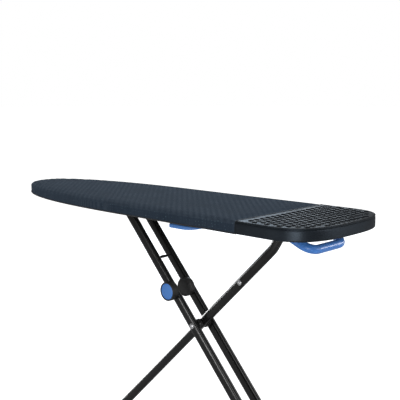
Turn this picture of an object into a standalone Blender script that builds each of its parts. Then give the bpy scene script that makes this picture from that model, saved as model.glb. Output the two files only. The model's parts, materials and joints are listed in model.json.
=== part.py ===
"""Folding ironing board on X-frame legs, with a silicone iron rest, a carry handle and a release lever.

Metres, +Z up. The board's long axis runs along X: the tail, with the iron rest and the handle, is at +X
and the nose at -X. The origin is on the floor under the middle of the board. Most places along the board
are given as a distance from the tail end, and most heights as a depth below the ironing surface.
"""

import math

import bmesh
import bpy
from mathutils import Matrix, Vector

# Board outline: a superellipse tail, straight sides and a long tapering nose.
BOARD_LENGTH = 1.295
BOARD_WIDTH = 0.376
BOARD_TOP = 0.900
BOARD_DEPTH = 0.032
TAIL_DEPTH = 0.130
TAIL_ROUNDNESS = 2.9
NOSE_DEPTH = 0.645
NOSE_TAPER = 2.45
NOSE_ROUNDNESS = 2.07
TAIL_STEPS = 9
NOSE_STEPS = 15

# Layers of the board, each kept a hair away from the next.
GAP = 0.0003
SKIN = 0.0015
EDGE_ROUND = 0.008
PAD_THICK = 0.006
DECK_THICK = 0.001
BAND_THICK = 0.002
HEM_WIDTH = 0.014
IRON_REST_LENGTH = 0.217

# Under-deck steelwork.
SPINE_WIDTH = 0.040
SPINE_THICK = 0.003
BRACE_WIDTH = 0.025
BRACE_THICK = 0.0024
BRACES_AT = (0.800, 1.098)
TAIL_PLATE_ENDS = (0.150, 0.245)
TAIL_PLATE_WIDTH = 0.192
SPINE_END = 1.155

# X frame. The tail hinge and the slide shaft are the same distance from the crossing and at the same
# height, so the board stays level while it folds.
PIVOT_BELOW = 0.034
HINGE_AT = 0.2018
CROSS_AT = 0.5036
CROSS_BELOW = 0.3628
SLIDE_AT = 2 * CROSS_AT - HINGE_AT
TAIL_LEG_ANGLE = math.radians(44.92)
TAIL_LEG_KNEE = (0.2432, 0.1030)
KNEE_RADIUS = 0.090
TUBE_WALL = 0.0012
PAIR_SPACING = 0.0672
PAIR_TUBE = (0.016, 0.009)
TAIL_TUBE = (0.0135, 0.0085)
TUBE_SIDES = 24
HOLE_SIDES = 16
TOP_OVERRUN = 0.007

# Feet. The axis is set so that the caps stand on a flat two facets wide.
FOOT_BAR_RADIUS = 0.0125
FOOT_BAR_HALF = 0.165
FOOT_CAP_RADIUS = 0.015
FOOT_AXIS_HEIGHT = FOOT_CAP_RADIUS * math.cos(2 * math.pi / TUBE_SIDES)
FOOT_CAP_LENGTH = 0.045
FOOT_CAP_END = 0.006

# Pins and bushes.
AXLE_RADIUS = 0.004
AXLE_HEAD_RADIUS = 0.0068
AXLE_HEAD_HEIGHT = 0.004
SPACER_RADIUS = 0.0155
SHAFT_RADIUS = 0.005
RIVET_FROM_CROSS = 0.213

# Bracket that the tail leg hangs in.
BRACKET_HALF_LENGTH = 0.018
BRACKET_PLATE = 0.0025
BRACKET_DROP = 0.013
BRACKET_CLEARANCE = 0.0015

# Slide rails and shoes.
RAIL_ENDS = (0.780, 1.112)
RAIL_OUTER = 0.083
RAIL_INNER = 0.068
RAIL_WALL = 0.0015
SHOE_LENGTH = 0.024
SHOE_HEIGHT = 0.015
SHOE_OUTER = 0.0800

# Hubs on the pair legs.
HUB_FROM_CROSS = 0.1237
HUB_RADIUS = 0.0285
NEAR_HUB_FRONT = 0.0290
FAR_HUB_FRONT = 0.0244
HUB_BACK = 0.0045
POCKET_RADIUS = 0.0252
POCKET_DEPTH = 0.0141
CAP_POCKET_DEPTH = 0.0034
BUTTON_SINK = 0.0020
BUTTON_THICK = 0.0056
BUTTON_CROWN = 0.0008
BUTTON_SPRING_PLAY = 0.0012
LEG_BRACE_FROM_CROSS = 0.2385
LEG_BRACE_HALF = (0.0045, 0.0014)
LEG_BRACE_LEAN = math.radians(20)

# Release lever, rod and catch.
ROD_BELOW = 0.0215
ROD_RADIUS = 0.003
ROD_ENDS = (0.300, 1.148)
BEARINGS_AT = (0.318, 0.600, 1.137)
BEARING_HALF = (0.005, 0.009, 0.006)
BEARING_ROUND = 0.0012
LEVER_ENDS = (0.348, 0.464)
LEVER_ARM = (0.365, 0.417)
LEVER_REACH = 0.172
LEVER_BLADE_BELOW = (0.0345, 0.0372)
LEVER_BLADE_THICK = 0.0036
LEVER_BLADE_WIDTH = (0.020, 0.044)
LEVER_LIP_THICK = 0.0050
LEVER_LIP_BELOW = 0.0385
LEVER_LIP_BULGE = 0.0105
LEVER_SHOULDER = 0.60
LEVER_EASE = 0.8
LEVER_CORNER = 0.010
LEVER_BOSS_RADIUS = 0.0065
LEVER_ARM_ROOT = 0.0045
SPRING_RADIUS = 0.0052
SPRING_WIRE = 0.0006
SPRING_PITCH = 0.0016
SPRING_TURNS = 5
CATCH_ENDS = (0.760, 1.127)
CATCH_ARMS_AT = (0.765, 1.122)
CATCH_ARM_HALF = 0.004
CATCH_SPAN = (0.0475, 0.0655)
CATCH_THICK = 0.002
CATCH_PITCH = 0.020
CATCH_TOOTH = (0.002, 0.006, 0.011, 0.0115)
CATCH_CLEARANCE = 0.0006

# Carry handle.
HANDLE_RADIUS = 0.0114
HANDLE_HALF_SPAN = 0.075
HANDLE_GRIP = (0.071, 0.0702)
HANDLE_ROOT = (0.1724, 0.027)
HANDLE_BEND = 0.032
HANDLE_FOOT_HALF = (0.019, 0.0125)
HANDLE_FOOT_OVERHANG = 0.008
HANDLE_FOOT_ROUND = 0.002
SCREW_OFFSET = 0.012
SCREW_HOLE_RADIUS = 0.0023
SCREW_SINK = (0.0046, 0.0028)
SCREW_SHANK_RADIUS = 0.0020
SCREW_HEAD = ((0.0, 0.0030), (0.0008, 0.0041), (0.0025, 0.0042))


def along(distance):
    """World X of a place this far from the tail end."""
    return BOARD_LENGTH / 2 - distance


def below(depth):
    """World Z of a place this far below the ironing surface."""
    return BOARD_TOP - depth


# ---------------------------------------------------------------- helpers


def clear_scene():
    for obj in list(bpy.data.objects):
        bpy.data.objects.remove(obj, do_unlink=True)


def material(name, colour, roughness, metallic=0.0):
    made = bpy.data.materials.get(name)
    if made is None:
        made = bpy.data.materials.new(name)
        made.use_nodes = True
        shader = made.node_tree.nodes["Principled BSDF"]
        shader.inputs["Base Color"].default_value = (*colour, 1.0)
        shader.inputs["Roughness"].default_value = roughness
        shader.inputs["Metallic"].default_value = metallic
    return made


def add_object(name, bm, mat, parent=None, origin=(0.0, 0.0, 0.0)):
    """An object whose mesh is the world-space bmesh bm, with its origin at origin."""
    bmesh.ops.recalc_face_normals(bm, faces=bm.faces)
    if bm.calc_volume(signed=True) < 0:
        bmesh.ops.reverse_faces(bm, faces=bm.faces)
    mesh = bpy.data.meshes.new(name)
    bm.transform(Matrix.Translation(-Vector(origin)))
    bm.to_mesh(mesh)
    bm.free()
    mesh.shade_smooth()
    mesh.set_sharp_from_angle(angle=math.radians(35))
    obj = bpy.data.objects.new(name, mesh)
    bpy.context.scene.collection.objects.link(obj)
    obj.location = Vector(origin)
    if parent is not None:
        obj.parent = parent
        obj.location = Vector(origin) - parent.location
    obj.data.materials.append(mat)
    return obj


def add_pivot(name, place):
    """An empty on a joint's axis, which the moving pieces of one body are parented to."""
    pivot = bpy.data.objects.new(name, None)
    bpy.context.scene.collection.objects.link(pivot)
    pivot.location = Vector(place)
    return pivot


def boolean(obj, bm, operation, label):
    """Cuts or joins obj with the world-space bmesh bm, as a modifier with a hidden helper object."""
    helper = add_object(obj.name + "." + label, bm, obj.data.materials[0])
    helper.hide_render = True
    helper.display_type = "WIRE"
    modifier = obj.modifiers.new(label, "BOOLEAN")
    modifier.operation = operation
    modifier.object = helper
    return obj


def loft(rings, closed=False):
    """A bmesh skin through rings of the same number of points: capped at both ends, or joined end to end."""
    bm = bmesh.new()
    loops = [[bm.verts.new(point) for point in ring] for ring in rings]
    count = len(loops[0])
    pairs = list(zip(loops, loops[1:]))
    if closed:
        pairs.append((loops[-1], loops[0]))
    for first, second in pairs:
        for i in range(count):
            j = (i + 1) % count
            bm.faces.new((first[i], first[j], second[j], second[i]))
    if not closed:
        bm.faces.new(loops[0])
        bm.faces.new(list(reversed(loops[-1])))
    return bm


def ellipse_ring(centre, first, second, sides):
    """Points of an ellipse round centre, whose half axes are the vectors first and second."""
    turns = (2 * math.pi * i / sides for i in range(sides))
    return [Vector(centre) + Vector(first) * math.cos(t) + Vector(second) * math.sin(t) for t in turns]


def path_frames(path, side):
    """For each point of a path, the point and the direction square to both the path and side."""
    frames = []
    for i, point in enumerate(path):
        before = path[max(i - 1, 0)]
        after = path[min(i + 1, len(path) - 1)]
        tangent = (after - before).normalized()
        frames.append((point, tangent.cross(side).normalized()))
    return frames


def tube(path, side, halves, wall, sides=TUBE_SIDES):
    """A hollow oval tube along a path: halves are its half sizes across the path and along side."""
    path = [Vector(point) for point in path]
    side = Vector(side)
    frames = path_frames(path, side)
    across, along_side = halves
    outer = [ellipse_ring(p, n * across, side * along_side, sides) for p, n in frames]
    inner = [ellipse_ring(p, n * (across - wall), side * (along_side - wall), sides) for p, n in frames]
    return loft(outer + inner[::-1], closed=True)


def rod(path, side, halves, sides=TUBE_SIDES):
    """A solid oval bar along a path."""
    path = [Vector(point) for point in path]
    side = Vector(side)
    return loft([ellipse_ring(p, n * halves[0], side * halves[1], sides) for p, n in path_frames(path, side)])


def cylinder(start, end, radius, sides=HOLE_SIDES):
    """A solid round bar between two points."""
    start = Vector(start)
    end = Vector(end)
    direction = (end - start).normalized()
    side = direction.orthogonal().normalized()
    return rod([start, end], side, (radius, radius), sides)


def turned_y(centre, profile, sides=20):
    """A solid turned about a Y axis through centre, from profile points of (y offset, radius)."""
    x, y, z = centre
    bm = bmesh.new()
    corners = [bm.verts.new((x + radius, y + offset, z)) for offset, radius in profile]
    edges = [bm.edges.new(pair) for pair in zip(corners, corners[1:])]
    bmesh.ops.spin(
        bm,
        geom=corners + edges,
        cent=(x, y, z),
        axis=(0.0, 1.0, 0.0),
        angle=2 * math.pi,
        steps=sides,
        use_merge=True,
    )
    bmesh.ops.remove_doubles(bm, verts=bm.verts, dist=1e-6)
    return bm


def ring_y(centre, start, end, outer, inner, sides=24):
    """A plain bush along Y, open at both ends."""
    x, _, z = centre
    spans = ((start, outer), (end, outer), (end, inner), (start, inner))
    rings = [ellipse_ring((x, y, z), (r, 0, 0), (0, 0, r), sides) for y, r in spans]
    return loft(rings, closed=True)


def box(low, high):
    """A box between two corners."""
    low = Vector(low)
    high = Vector(high)
    bm = bmesh.new()
    bmesh.ops.create_cube(bm, size=1.0)
    bmesh.ops.scale(bm, vec=high - low, verts=bm.verts)
    bmesh.ops.translate(bm, vec=(high + low) / 2, verts=bm.verts)
    return bm


def bevelled_box(low, high, width):
    """A box with all its edges rounded."""
    bm = box(low, high)
    bmesh.ops.bevel(bm, geom=bm.edges[:], offset=width, segments=2, profile=0.5, affect="EDGES")
    return bm


def prism(outline, axis, start, end):
    """An outline in the two axes other than axis (0 for X, 1 for Y, 2 for Z), extruded along axis."""
    def place(u, v, w):
        point = [u, v]
        point.insert(axis, w)
        return Vector(point)

    return loft([[place(u, v, w) for u, v in outline] for w in (start, end)])


def rounded_path(corners, radius, steps):
    """A path through corners, where each inner corner becomes an arc-like bend of the given radius."""
    corners = [Vector(corner) for corner in corners]
    path = [corners[0]]
    for before, corner, after in zip(corners, corners[1:], corners[2:]):
        back = (before - corner).normalized()
        ahead = (after - corner).normalized()
        half_turn = (math.pi - back.angle(ahead)) / 2
        cut = radius * math.tan(half_turn)
        bisector = (back + ahead).normalized()
        centre = corner + bisector * (radius / math.cos(half_turn))
        first = corner + back * cut - centre
        last = corner + ahead * cut - centre
        whole = first.angle(last)
        for i in range(steps + 1):
            share = i / steps
            arm = first * math.sin((1 - share) * whole) + last * math.sin(share * whole)
            path.append(centre + arm / math.sin(whole))
    path.append(corners[-1])
    return path


def helix_y(centre, radius, wire, length, turns, sides=5, steps=12):
    """A coil spring along Y from centre, as a solid wire with flat ends."""
    count = turns * steps
    points = []
    for i in range(count + 1):
        turn = 2 * math.pi * i / steps
        arm = Vector((math.cos(turn), 0.0, math.sin(turn))) * radius
        points.append(Vector(centre) + arm + Vector((0.0, length * i / count, 0.0)))
    rings = []
    for i, point in enumerate(points):
        tangent = (points[min(i + 1, count)] - points[max(i - 1, 0)]).normalized()
        outward = (point - Vector(centre)) * Vector((1.0, 0.0, 1.0))
        outward = (outward - tangent * outward.dot(tangent)).normalized()
        rings.append(ellipse_ring(point, outward * wire, tangent.cross(outward) * wire, sides))
    return loft(rings)


# ---------------------------------------------------------------- outline


def half_outline():
    """(distance from tail, half width) down one side, from the middle of the tail to the tip of the nose."""
    half = BOARD_WIDTH / 2
    points = []
    for i in range(TAIL_STEPS + 1):
        turn = math.pi / 2 * i / TAIL_STEPS
        run = math.cos(turn) ** (2 / TAIL_ROUNDNESS)
        points.append((TAIL_DEPTH * (1 - run), half * math.sin(turn) ** (2 / TAIL_ROUNDNESS)))
    for i in range(NOSE_STEPS + 1):
        turn = math.pi / 2 * i / NOSE_STEPS
        run = math.sin(turn) ** (2 / NOSE_TAPER)
        width = half * max(math.cos(turn), 0.0) ** (2 / NOSE_ROUNDNESS)
        points.append((BOARD_LENGTH - NOSE_DEPTH * (1 - run), width))
    points[0] = (0.0, 0.0)
    points[-1] = (BOARD_LENGTH, 0.0)
    return points


def outline(inset=0.0):
    """The board's outline in world X and Y, anticlockwise from above, moved inwards by inset."""
    half = half_outline()
    left = [Vector((along(distance), width)) for distance, width in half]
    right = [Vector((point.x, -point.y)) for point in left[1:-1]]
    ring = left + right[::-1]
    moved = []
    for i, point in enumerate(ring):
        before = ring[i - 1]
        after = ring[(i + 1) % len(ring)]
        into = ((point - before).normalized() + (after - point).normalized()).normalized()
        moved.append(point + Vector((-into.y, into.x)) * inset)
    return moved


def layer_ring(inset, depth):
    return [Vector((point.x, point.y, below(depth))) for point in outline(inset)]


def slab(inset, top_depth, thick):
    """A flat sheet of the board's outline."""
    return loft([layer_ring(inset, top_depth + thick), layer_ring(inset, top_depth)])


def half_width_at(distance):
    """The board's half width at a distance from the tail, read off the outline."""
    points = half_outline()
    for (d0, w0), (d1, w1) in zip(points, points[1:]):
        if d0 <= distance <= d1:
            return w0 + (w1 - w0) * (distance - d0) / (d1 - d0)
    return 0.0


# ---------------------------------------------------------------- board


def edge_arc(inset, depth, radius, steps=4):
    """(inset, depth) points of the rounded top edge, from the side up to the flat top."""
    points = []
    for i in range(steps + 1):
        turn = math.pi / 2 * i / steps
        points.append((inset + radius * (1 - math.cos(turn)), depth + radius * (1 - math.sin(turn))))
    return points


def cover_shell():
    """The whole board's skin: a top, a rounded edge, a side skirt and a hem turned in under the edge."""
    outside = [(HEM_WIDTH, BOARD_DEPTH), (0.0012, BOARD_DEPTH), (0.0, BOARD_DEPTH - 0.0015)]
    outside += edge_arc(0.0, 0.0, EDGE_ROUND)
    inside = edge_arc(SKIN, SKIN, EDGE_ROUND - SKIN)[::-1]
    inside += [(SKIN, BOARD_DEPTH - SKIN), (HEM_WIDTH, BOARD_DEPTH - SKIN)]
    bm = bmesh.new()
    skins = []
    for profile in (outside, inside):
        skins.append([[bm.verts.new(p) for p in layer_ring(i, d)] for i, d in profile])
    rings = skins[0]
    count = len(rings[0])
    for chain in skins:
        for first, second in zip(chain, chain[1:]):
            for i in range(count):
                j = (i + 1) % count
                bm.faces.new((first[i], first[j], second[j], second[i]))
    for i in range(count):
        j = (i + 1) % count
        bm.faces.new((skins[1][-1][i], skins[1][-1][j], skins[0][0][j], skins[0][0][i]))
    bm.faces.new(skins[0][-1])
    bm.faces.new(skins[1][0])
    return bm


def cut_box(start, end):
    """A box round the whole board's skin between two distances from the tail."""
    reach = BOARD_WIDTH
    return box((along(end), -reach, below(2 * BOARD_DEPTH)), (along(start), reach, below(-BOARD_DEPTH)))


def make_cover(fabric, silicone):
    seam = GAP / 2
    cover = add_object("board_cover", cover_shell(), fabric)
    boolean(cover, cut_box(-1.0, IRON_REST_LENGTH + seam), "DIFFERENCE", "tail_cut")
    rest = add_object("iron_rest", cover_shell(), silicone)
    boolean(rest, cut_box(IRON_REST_LENGTH - seam, 2 * BOARD_LENGTH), "DIFFERENCE", "nose_cut")


def make_board_layers(felt, steel):
    pad_top = SKIN + GAP
    deck_top = pad_top + PAD_THICK + GAP
    band_top = deck_top + DECK_THICK + GAP
    band_bottom = BOARD_DEPTH - SKIN - GAP
    pad_inset = SKIN + 0.001
    deck_inset = SKIN + 2 * GAP
    pad_rings = (
        (pad_inset, pad_top + PAD_THICK),
        (pad_inset, EDGE_ROUND * 0.65),
        (EDGE_ROUND + GAP, pad_top),
    )
    add_object("felt_pad", loft([layer_ring(i, d) for i, d in pad_rings]), felt)
    add_object("deck_plate", slab(deck_inset, deck_top, DECK_THICK), steel)
    corners = (
        (deck_inset, band_top),
        (deck_inset, band_bottom),
        (deck_inset + BAND_THICK, band_bottom),
        (deck_inset + BAND_THICK, band_top),
    )
    add_object("edge_band", loft([layer_ring(i, d) for i, d in corners], closed=True), steel)
    return band_top


def make_underframe(steel, spine_top):
    """The longitudinal spine, the tail plate and the cross braces, one under the other."""
    start, end = TAIL_PLATE_ENDS
    low = below(spine_top + SPINE_THICK)
    high = below(spine_top)
    plate_half = TAIL_PLATE_WIDTH / 2
    add_object("tail_plate", box((along(end), -plate_half, low), (along(start), plate_half, high)), steel)
    spine_half = SPINE_WIDTH / 2
    spine = box((along(SPINE_END), -spine_half, low), (along(end + GAP), spine_half, high))
    add_object("deck_spine", spine, steel)
    brace_top = spine_top + SPINE_THICK + GAP
    for number, distance in enumerate(BRACES_AT, 1):
        reach = half_width_at(distance + BRACE_WIDTH / 2) - 2 * EDGE_ROUND
        corner = (along(distance) - BRACE_WIDTH / 2, -reach, below(brace_top + BRACE_THICK))
        far = (along(distance) + BRACE_WIDTH / 2, reach, below(brace_top))
        add_object(f"cross_brace_{number}", box(corner, far), steel)
    return brace_top, brace_top + BRACE_THICK + GAP


def rail_profile(top_depth):
    """(y, z) of the far rail: a web with a flange to the braces and a slot for the shoe."""
    slot = SHOE_HEIGHT / 2 + 0.0006
    slot_top = below(PIVOT_BELOW) + slot
    slot_bottom = below(PIVOT_BELOW) - slot
    web = RAIL_OUTER - RAIL_WALL
    return (
        (RAIL_OUTER, below(top_depth)),
        (RAIL_INNER, below(top_depth)),
        (RAIL_INNER, below(top_depth + RAIL_WALL)),
        (web, below(top_depth + RAIL_WALL)),
        (web, slot_top + RAIL_WALL),
        (RAIL_INNER, slot_top + RAIL_WALL),
        (RAIL_INNER, slot_top),
        (web, slot_top),
        (web, slot_bottom),
        (RAIL_INNER, slot_bottom),
        (RAIL_INNER, slot_bottom - RAIL_WALL),
        (RAIL_OUTER, slot_bottom - RAIL_WALL),
    )


def make_rails(steel, top_depth):
    profile = rail_profile(top_depth)
    start, end = (along(distance) for distance in RAIL_ENDS)
    for name, hand in (("near_rail", -1), ("far_rail", 1)):
        outline_yz = [(hand * y, z) for y, z in profile]
        add_object(name, prism(outline_yz, 0, end, start), steel)


def make_hinge_bracket(steel, chrome, top_depth):
    """The U bracket under the tail plate and the pin that the tail leg turns on."""
    x = along(HINGE_AT)
    z = below(PIVOT_BELOW)
    inner = TAIL_TUBE[1] + BRACKET_CLEARANCE
    outer = inner + BRACKET_PLATE
    roof = below(top_depth)
    bottom = z - BRACKET_DROP
    profile = (
        (-outer, roof),
        (-outer, bottom),
        (-inner, bottom),
        (-inner, roof - BRACKET_PLATE),
        (inner, roof - BRACKET_PLATE),
        (inner, bottom),
        (outer, bottom),
        (outer, roof),
    )
    u_plate = prism(profile, 0, x - BRACKET_HALF_LENGTH, x + BRACKET_HALF_LENGTH)
    bracket = add_object("tail_hinge_bracket", u_plate, steel)
    hole = cylinder((x, -2 * outer, z), (x, 2 * outer, z), AXLE_RADIUS + GAP)
    boolean(bracket, hole, "DIFFERENCE", "pin_hole")
    add_object("tail_hinge_pin", axle_with_heads((x, 0.0, z), outer + GAP), chrome)


def axle_with_heads(centre, half_grip):
    """A pin along Y with a domed head on each end, which grips from -half_grip to half_grip."""
    head = half_grip + AXLE_HEAD_HEIGHT
    crown = (head, AXLE_HEAD_RADIUS * 0.45)
    side = []
    for offset, radius in (crown, (head - 0.0012, AXLE_HEAD_RADIUS * 0.85), (half_grip, AXLE_HEAD_RADIUS)):
        side.append((offset, radius))
    right = [(head, 0.0)] + side + [(half_grip, AXLE_RADIUS)]
    left = [(-offset, radius) for offset, radius in right[::-1]]
    return turned_y(centre, right + left)


def make_handle(blue, screw_steel, top_depth):
    """The carry handle: a round U bar that drops from two feet on the tail plate to the grip."""
    grip_at, grip_below = HANDLE_GRIP
    root_at, root_below = HANDLE_ROOT
    span = HANDLE_HALF_SPAN
    corners = (
        (along(root_at), -span, below(root_below)),
        (along(grip_at), -span, below(grip_below)),
        (along(grip_at), span, below(grip_below)),
        (along(root_at), span, below(root_below)),
    )
    path = rounded_path(corners, HANDLE_BEND, 7)
    legs_slope = Vector(corners[0]) - Vector(corners[1])
    side = legs_slope.cross(Vector((0.0, 1.0, 0.0))).normalized()
    handle = add_object("carry_handle", rod(path, side, (HANDLE_RADIUS, HANDLE_RADIUS), 18), blue)
    half_long, half_wide = HANDLE_FOOT_HALF
    foot_top = below(top_depth)
    foot_bottom = below(root_below + HANDLE_FOOT_OVERHANG)
    holes = []
    for hand_name, hand in (("near", -1), ("far", 1)):
        low = (along(root_at) - half_long, hand * span - half_wide, foot_bottom)
        high = (along(root_at) + half_long, hand * span + half_wide, foot_top)
        boolean(handle, bevelled_box(low, high, HANDLE_FOOT_ROUND), "UNION", f"{hand_name}_foot")
        for number, offset in enumerate((-SCREW_OFFSET, SCREW_OFFSET), 1):
            place = (along(root_at) + offset, hand * span, foot_bottom)
            holes.append((f"handle_screw_{hand_name}_{number}", place))
    sink_radius, sink_depth = SCREW_SINK
    for name, (x, y, z) in holes:
        start = (x, y, z - sink_depth)
        shank_hole = cylinder(start, (x, y, foot_top + sink_depth), SCREW_HOLE_RADIUS)
        boolean(handle, shank_hole, "DIFFERENCE", name)
        boolean(handle, cylinder(start, (x, y, z + sink_depth), sink_radius), "DIFFERENCE", name + "_sink")
        add_object(name, screw(x, y, z, foot_top - GAP), screw_steel)


def screw(x, y, head_bottom, tip):
    """A pan-head screw that points up, with its head in the foot's recess."""
    levels = [(head_bottom + rise, radius) for rise, radius in SCREW_HEAD]
    levels += [(levels[-1][0], SCREW_SHANK_RADIUS), (tip, SCREW_SHANK_RADIUS)]
    return loft([ellipse_ring((x, y, z), (r, 0, 0), (0, r, 0), HOLE_SIDES) for z, r in levels])


# ---------------------------------------------------------------- release


def make_release(pivot, blue, steel, spring_steel, top_depth):
    """The squeeze lever, the rod it turns, and the notched catch over the slide shaft."""
    z = below(ROD_BELOW)
    start, end = ROD_ENDS
    add_object("release_rod", cylinder((along(end), 0, z), (along(start), 0, z), ROD_RADIUS), steel, pivot)
    make_lever(pivot, blue, z)
    make_catch(pivot, steel, z)
    for number, distance in enumerate(BEARINGS_AT, 1):
        x = along(distance)
        half_long, half_wide, drop = BEARING_HALF
        low = (x - half_long, -half_wide, z - drop)
        high = (x + half_long, half_wide, below(top_depth))
        bearing = add_object(f"rod_bearing_{number}", bevelled_box(low, high, BEARING_ROUND), steel)
        hole = cylinder((x - 2 * half_long, 0, z), (x + 2 * half_long, 0, z), ROD_RADIUS + GAP)
        boolean(bearing, hole, "DIFFERENCE", "rod_hole")
    make_lever_spring(spring_steel, z)


def make_lever(pivot, blue, rod_z):
    """A flat blade from the rod out to the near edge, with a grip lip turned down along it."""
    start, end = LEVER_ENDS
    outer = LEVER_REACH
    narrow, wide = LEVER_BLADE_WIDTH
    top_in, top_out = (below(depth) for depth in LEVER_BLADE_BELOW)
    crease = LEVER_LIP_THICK
    soft = LEVER_LIP_THICK / 4
    stations = 14
    rings = []
    for i in range(stations + 1):
        share = i / stations
        x = along(start + (end - start) * share)
        bulge = math.sin(math.pi / 2 * min(share / LEVER_SHOULDER, 1.0)) ** LEVER_EASE
        inner = outer - narrow - (wide - narrow) * bulge
        reach = outer - LEVER_CORNER * (1 - bulge)
        lip = below(LEVER_LIP_BELOW + LEVER_LIP_BULGE * bulge)
        rings.append(
            [
                Vector((x, -inner, top_in)),
                Vector((x, -reach + crease, top_out)),
                Vector((x, -reach, top_out - 2 * soft)),
                Vector((x, -reach, lip + soft)),
                Vector((x, -reach + soft, lip)),
                Vector((x, -reach + crease - soft, lip + soft)),
                Vector((x, -reach + crease, top_out - LEVER_BLADE_THICK)),
                Vector((x, -inner, top_in - LEVER_BLADE_THICK)),
            ]
        )
    lever = add_object("release_lever", loft(rings), blue, pivot, pivot.location)
    arm_start, arm_end = (along(distance) for distance in LEVER_ARM)
    tip = -outer + narrow
    arm = (
        (tip, top_in - LEVER_BLADE_THICK / 3),
        (-LEVER_ARM_ROOT, rod_z + LEVER_ARM_ROOT),
        (-LEVER_ARM_ROOT, rod_z - LEVER_ARM_ROOT),
        (tip, top_out - LEVER_BLADE_THICK),
    )
    boolean(lever, prism(arm, 0, arm_end, arm_start), "UNION", "arm")
    boss = cylinder((arm_end, 0, rod_z), (arm_start, 0, rod_z), LEVER_BOSS_RADIUS, TUBE_SIDES)
    boolean(lever, boss, "UNION", "boss")
    ends = ((arm_end - LEVER_BOSS_RADIUS, 0, rod_z), (arm_start + LEVER_BOSS_RADIUS, 0, rod_z))
    boolean(lever, cylinder(*ends, ROD_RADIUS + GAP), "DIFFERENCE", "rod_hole")


def make_catch(pivot, steel, rod_z):
    """A strip with saw teeth over the slide shaft, held to the rod by two arms."""
    start, end = (along(distance) for distance in CATCH_ENDS)
    inner, outer = CATCH_SPAN
    top = rod_z + CATCH_THICK / 2
    root = rod_z - CATCH_THICK / 2
    gullet = root - GAP
    tip = below(PIVOT_BELOW) + SHAFT_RADIUS + CATCH_CLEARANCE
    outline_xz = [(start, top), (end, top), (end, root)]
    for i in range(int((start - end) / CATCH_PITCH)):
        corners = [end + CATCH_PITCH * i + offset for offset in CATCH_TOOTH]
        outline_xz += list(zip(corners, (gullet, tip, tip, gullet)))
    outline_xz.append((start, root))
    strip = add_object("catch_strip", prism(outline_xz, 1, -outer, -outer + CATCH_THICK), steel, pivot)
    flat = box((end, -outer + CATCH_THICK / 2, root), (start, -inner, top))
    boolean(strip, flat, "UNION", "flat")
    for number, distance in enumerate(CATCH_ARMS_AT, 1):
        low = (along(distance) - CATCH_ARM_HALF, -inner + GAP, root)
        high = (along(distance) + CATCH_ARM_HALF, -ROD_RADIUS - GAP, top)
        add_object(f"catch_arm_{number}", box(low, high), steel, pivot)


def make_lever_spring(spring_steel, rod_z):
    """The return spring, coiled loosely round the rod beside the lever."""
    steps = 10
    count = SPRING_TURNS * steps
    start = along(LEVER_ARM[0]) + 2 * SPRING_PITCH
    rings = []
    for i in range(count + 1):
        turn = 2 * math.pi * i / steps
        arm = Vector((0.0, math.cos(turn), math.sin(turn)))
        centre = Vector((start + SPRING_PITCH * i / steps, 0.0, rod_z)) + arm * SPRING_RADIUS
        rings.append(ellipse_ring(centre, arm * SPRING_WIRE, Vector((SPRING_WIRE, 0.0, 0.0)), 5))
    add_object("lever_spring", loft(rings), spring_steel)


# ---------------------------------------------------------------- legs


def foot_drop():
    """Height of the crossing above the foot axes."""
    return below(CROSS_BELOW) - FOOT_AXIS_HEIGHT


def pair_foot_x():
    slope = (CROSS_BELOW - PIVOT_BELOW) / (SLIDE_AT - CROSS_AT)
    return along(CROSS_AT) + foot_drop() / slope


def tail_foot_x():
    return along(CROSS_AT) - foot_drop() / math.tan(TAIL_LEG_ANGLE)


def on_pair_line(from_cross):
    """(x, z) of a place on the pair legs' line, this far above the crossing."""
    top = Vector((along(SLIDE_AT), below(PIVOT_BELOW)))
    cross = Vector((along(CROSS_AT), below(CROSS_BELOW)))
    return cross + (top - cross).normalized() * from_cross


def pair_path(y, grow=0.0):
    """The centre line of one of the pair legs, from just past the slide shaft down to its foot bar."""
    length = (on_pair_line(0.0) - Vector((along(SLIDE_AT), below(PIVOT_BELOW)))).length
    top = on_pair_line(length + TOP_OVERRUN + grow)
    return [(top.x, y, top.y), (pair_foot_x(), y, FOOT_AXIS_HEIGHT)]


def foot_saddle(x):
    return cylinder((x, -0.1, FOOT_AXIS_HEIGHT), (x, 0.1, FOOT_AXIS_HEIGHT), FOOT_BAR_RADIUS + GAP)


def make_pair_legs(pivot, black, chrome):
    half = PAIR_SPACING / 2
    cross = (along(CROSS_AT), 0.0, below(CROSS_BELOW))
    shaft = (along(SLIDE_AT), 0.0, below(PIVOT_BELOW))
    for name, y in (("near_leg_tube", -half), ("far_leg_tube", half)):
        leg = add_object(name, tube(pair_path(y), (0, 1, 0), PAIR_TUBE, TUBE_WALL), black, pivot)
        boolean(leg, foot_saddle(pair_foot_x()), "DIFFERENCE", "saddle")
        holes = (("axle_hole", cross, AXLE_RADIUS), ("shaft_hole", shaft, SHAFT_RADIUS))
        reach = 2 * PAIR_TUBE[1]
        for label, (x, _, z), radius in holes:
            hole = cylinder((x, y - reach, z), (x, y + reach, z), radius + GAP)
            boolean(leg, hole, "DIFFERENCE", label)
    grip = half + PAIR_TUBE[1] + GAP
    add_object("pivot_axle", axle_with_heads(cross, grip), chrome, pivot)
    start = TAIL_TUBE[1] + GAP
    end = half - PAIR_TUBE[1] - GAP
    for name, hand in (("near_spacer", -1), ("far_spacer", 1)):
        ends = sorted((hand * start, hand * end))
        add_object(name, ring_y(cross, *ends, SPACER_RADIUS, AXLE_RADIUS + GAP), black, pivot)
    make_leg_brace(pivot, black, end)


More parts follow.
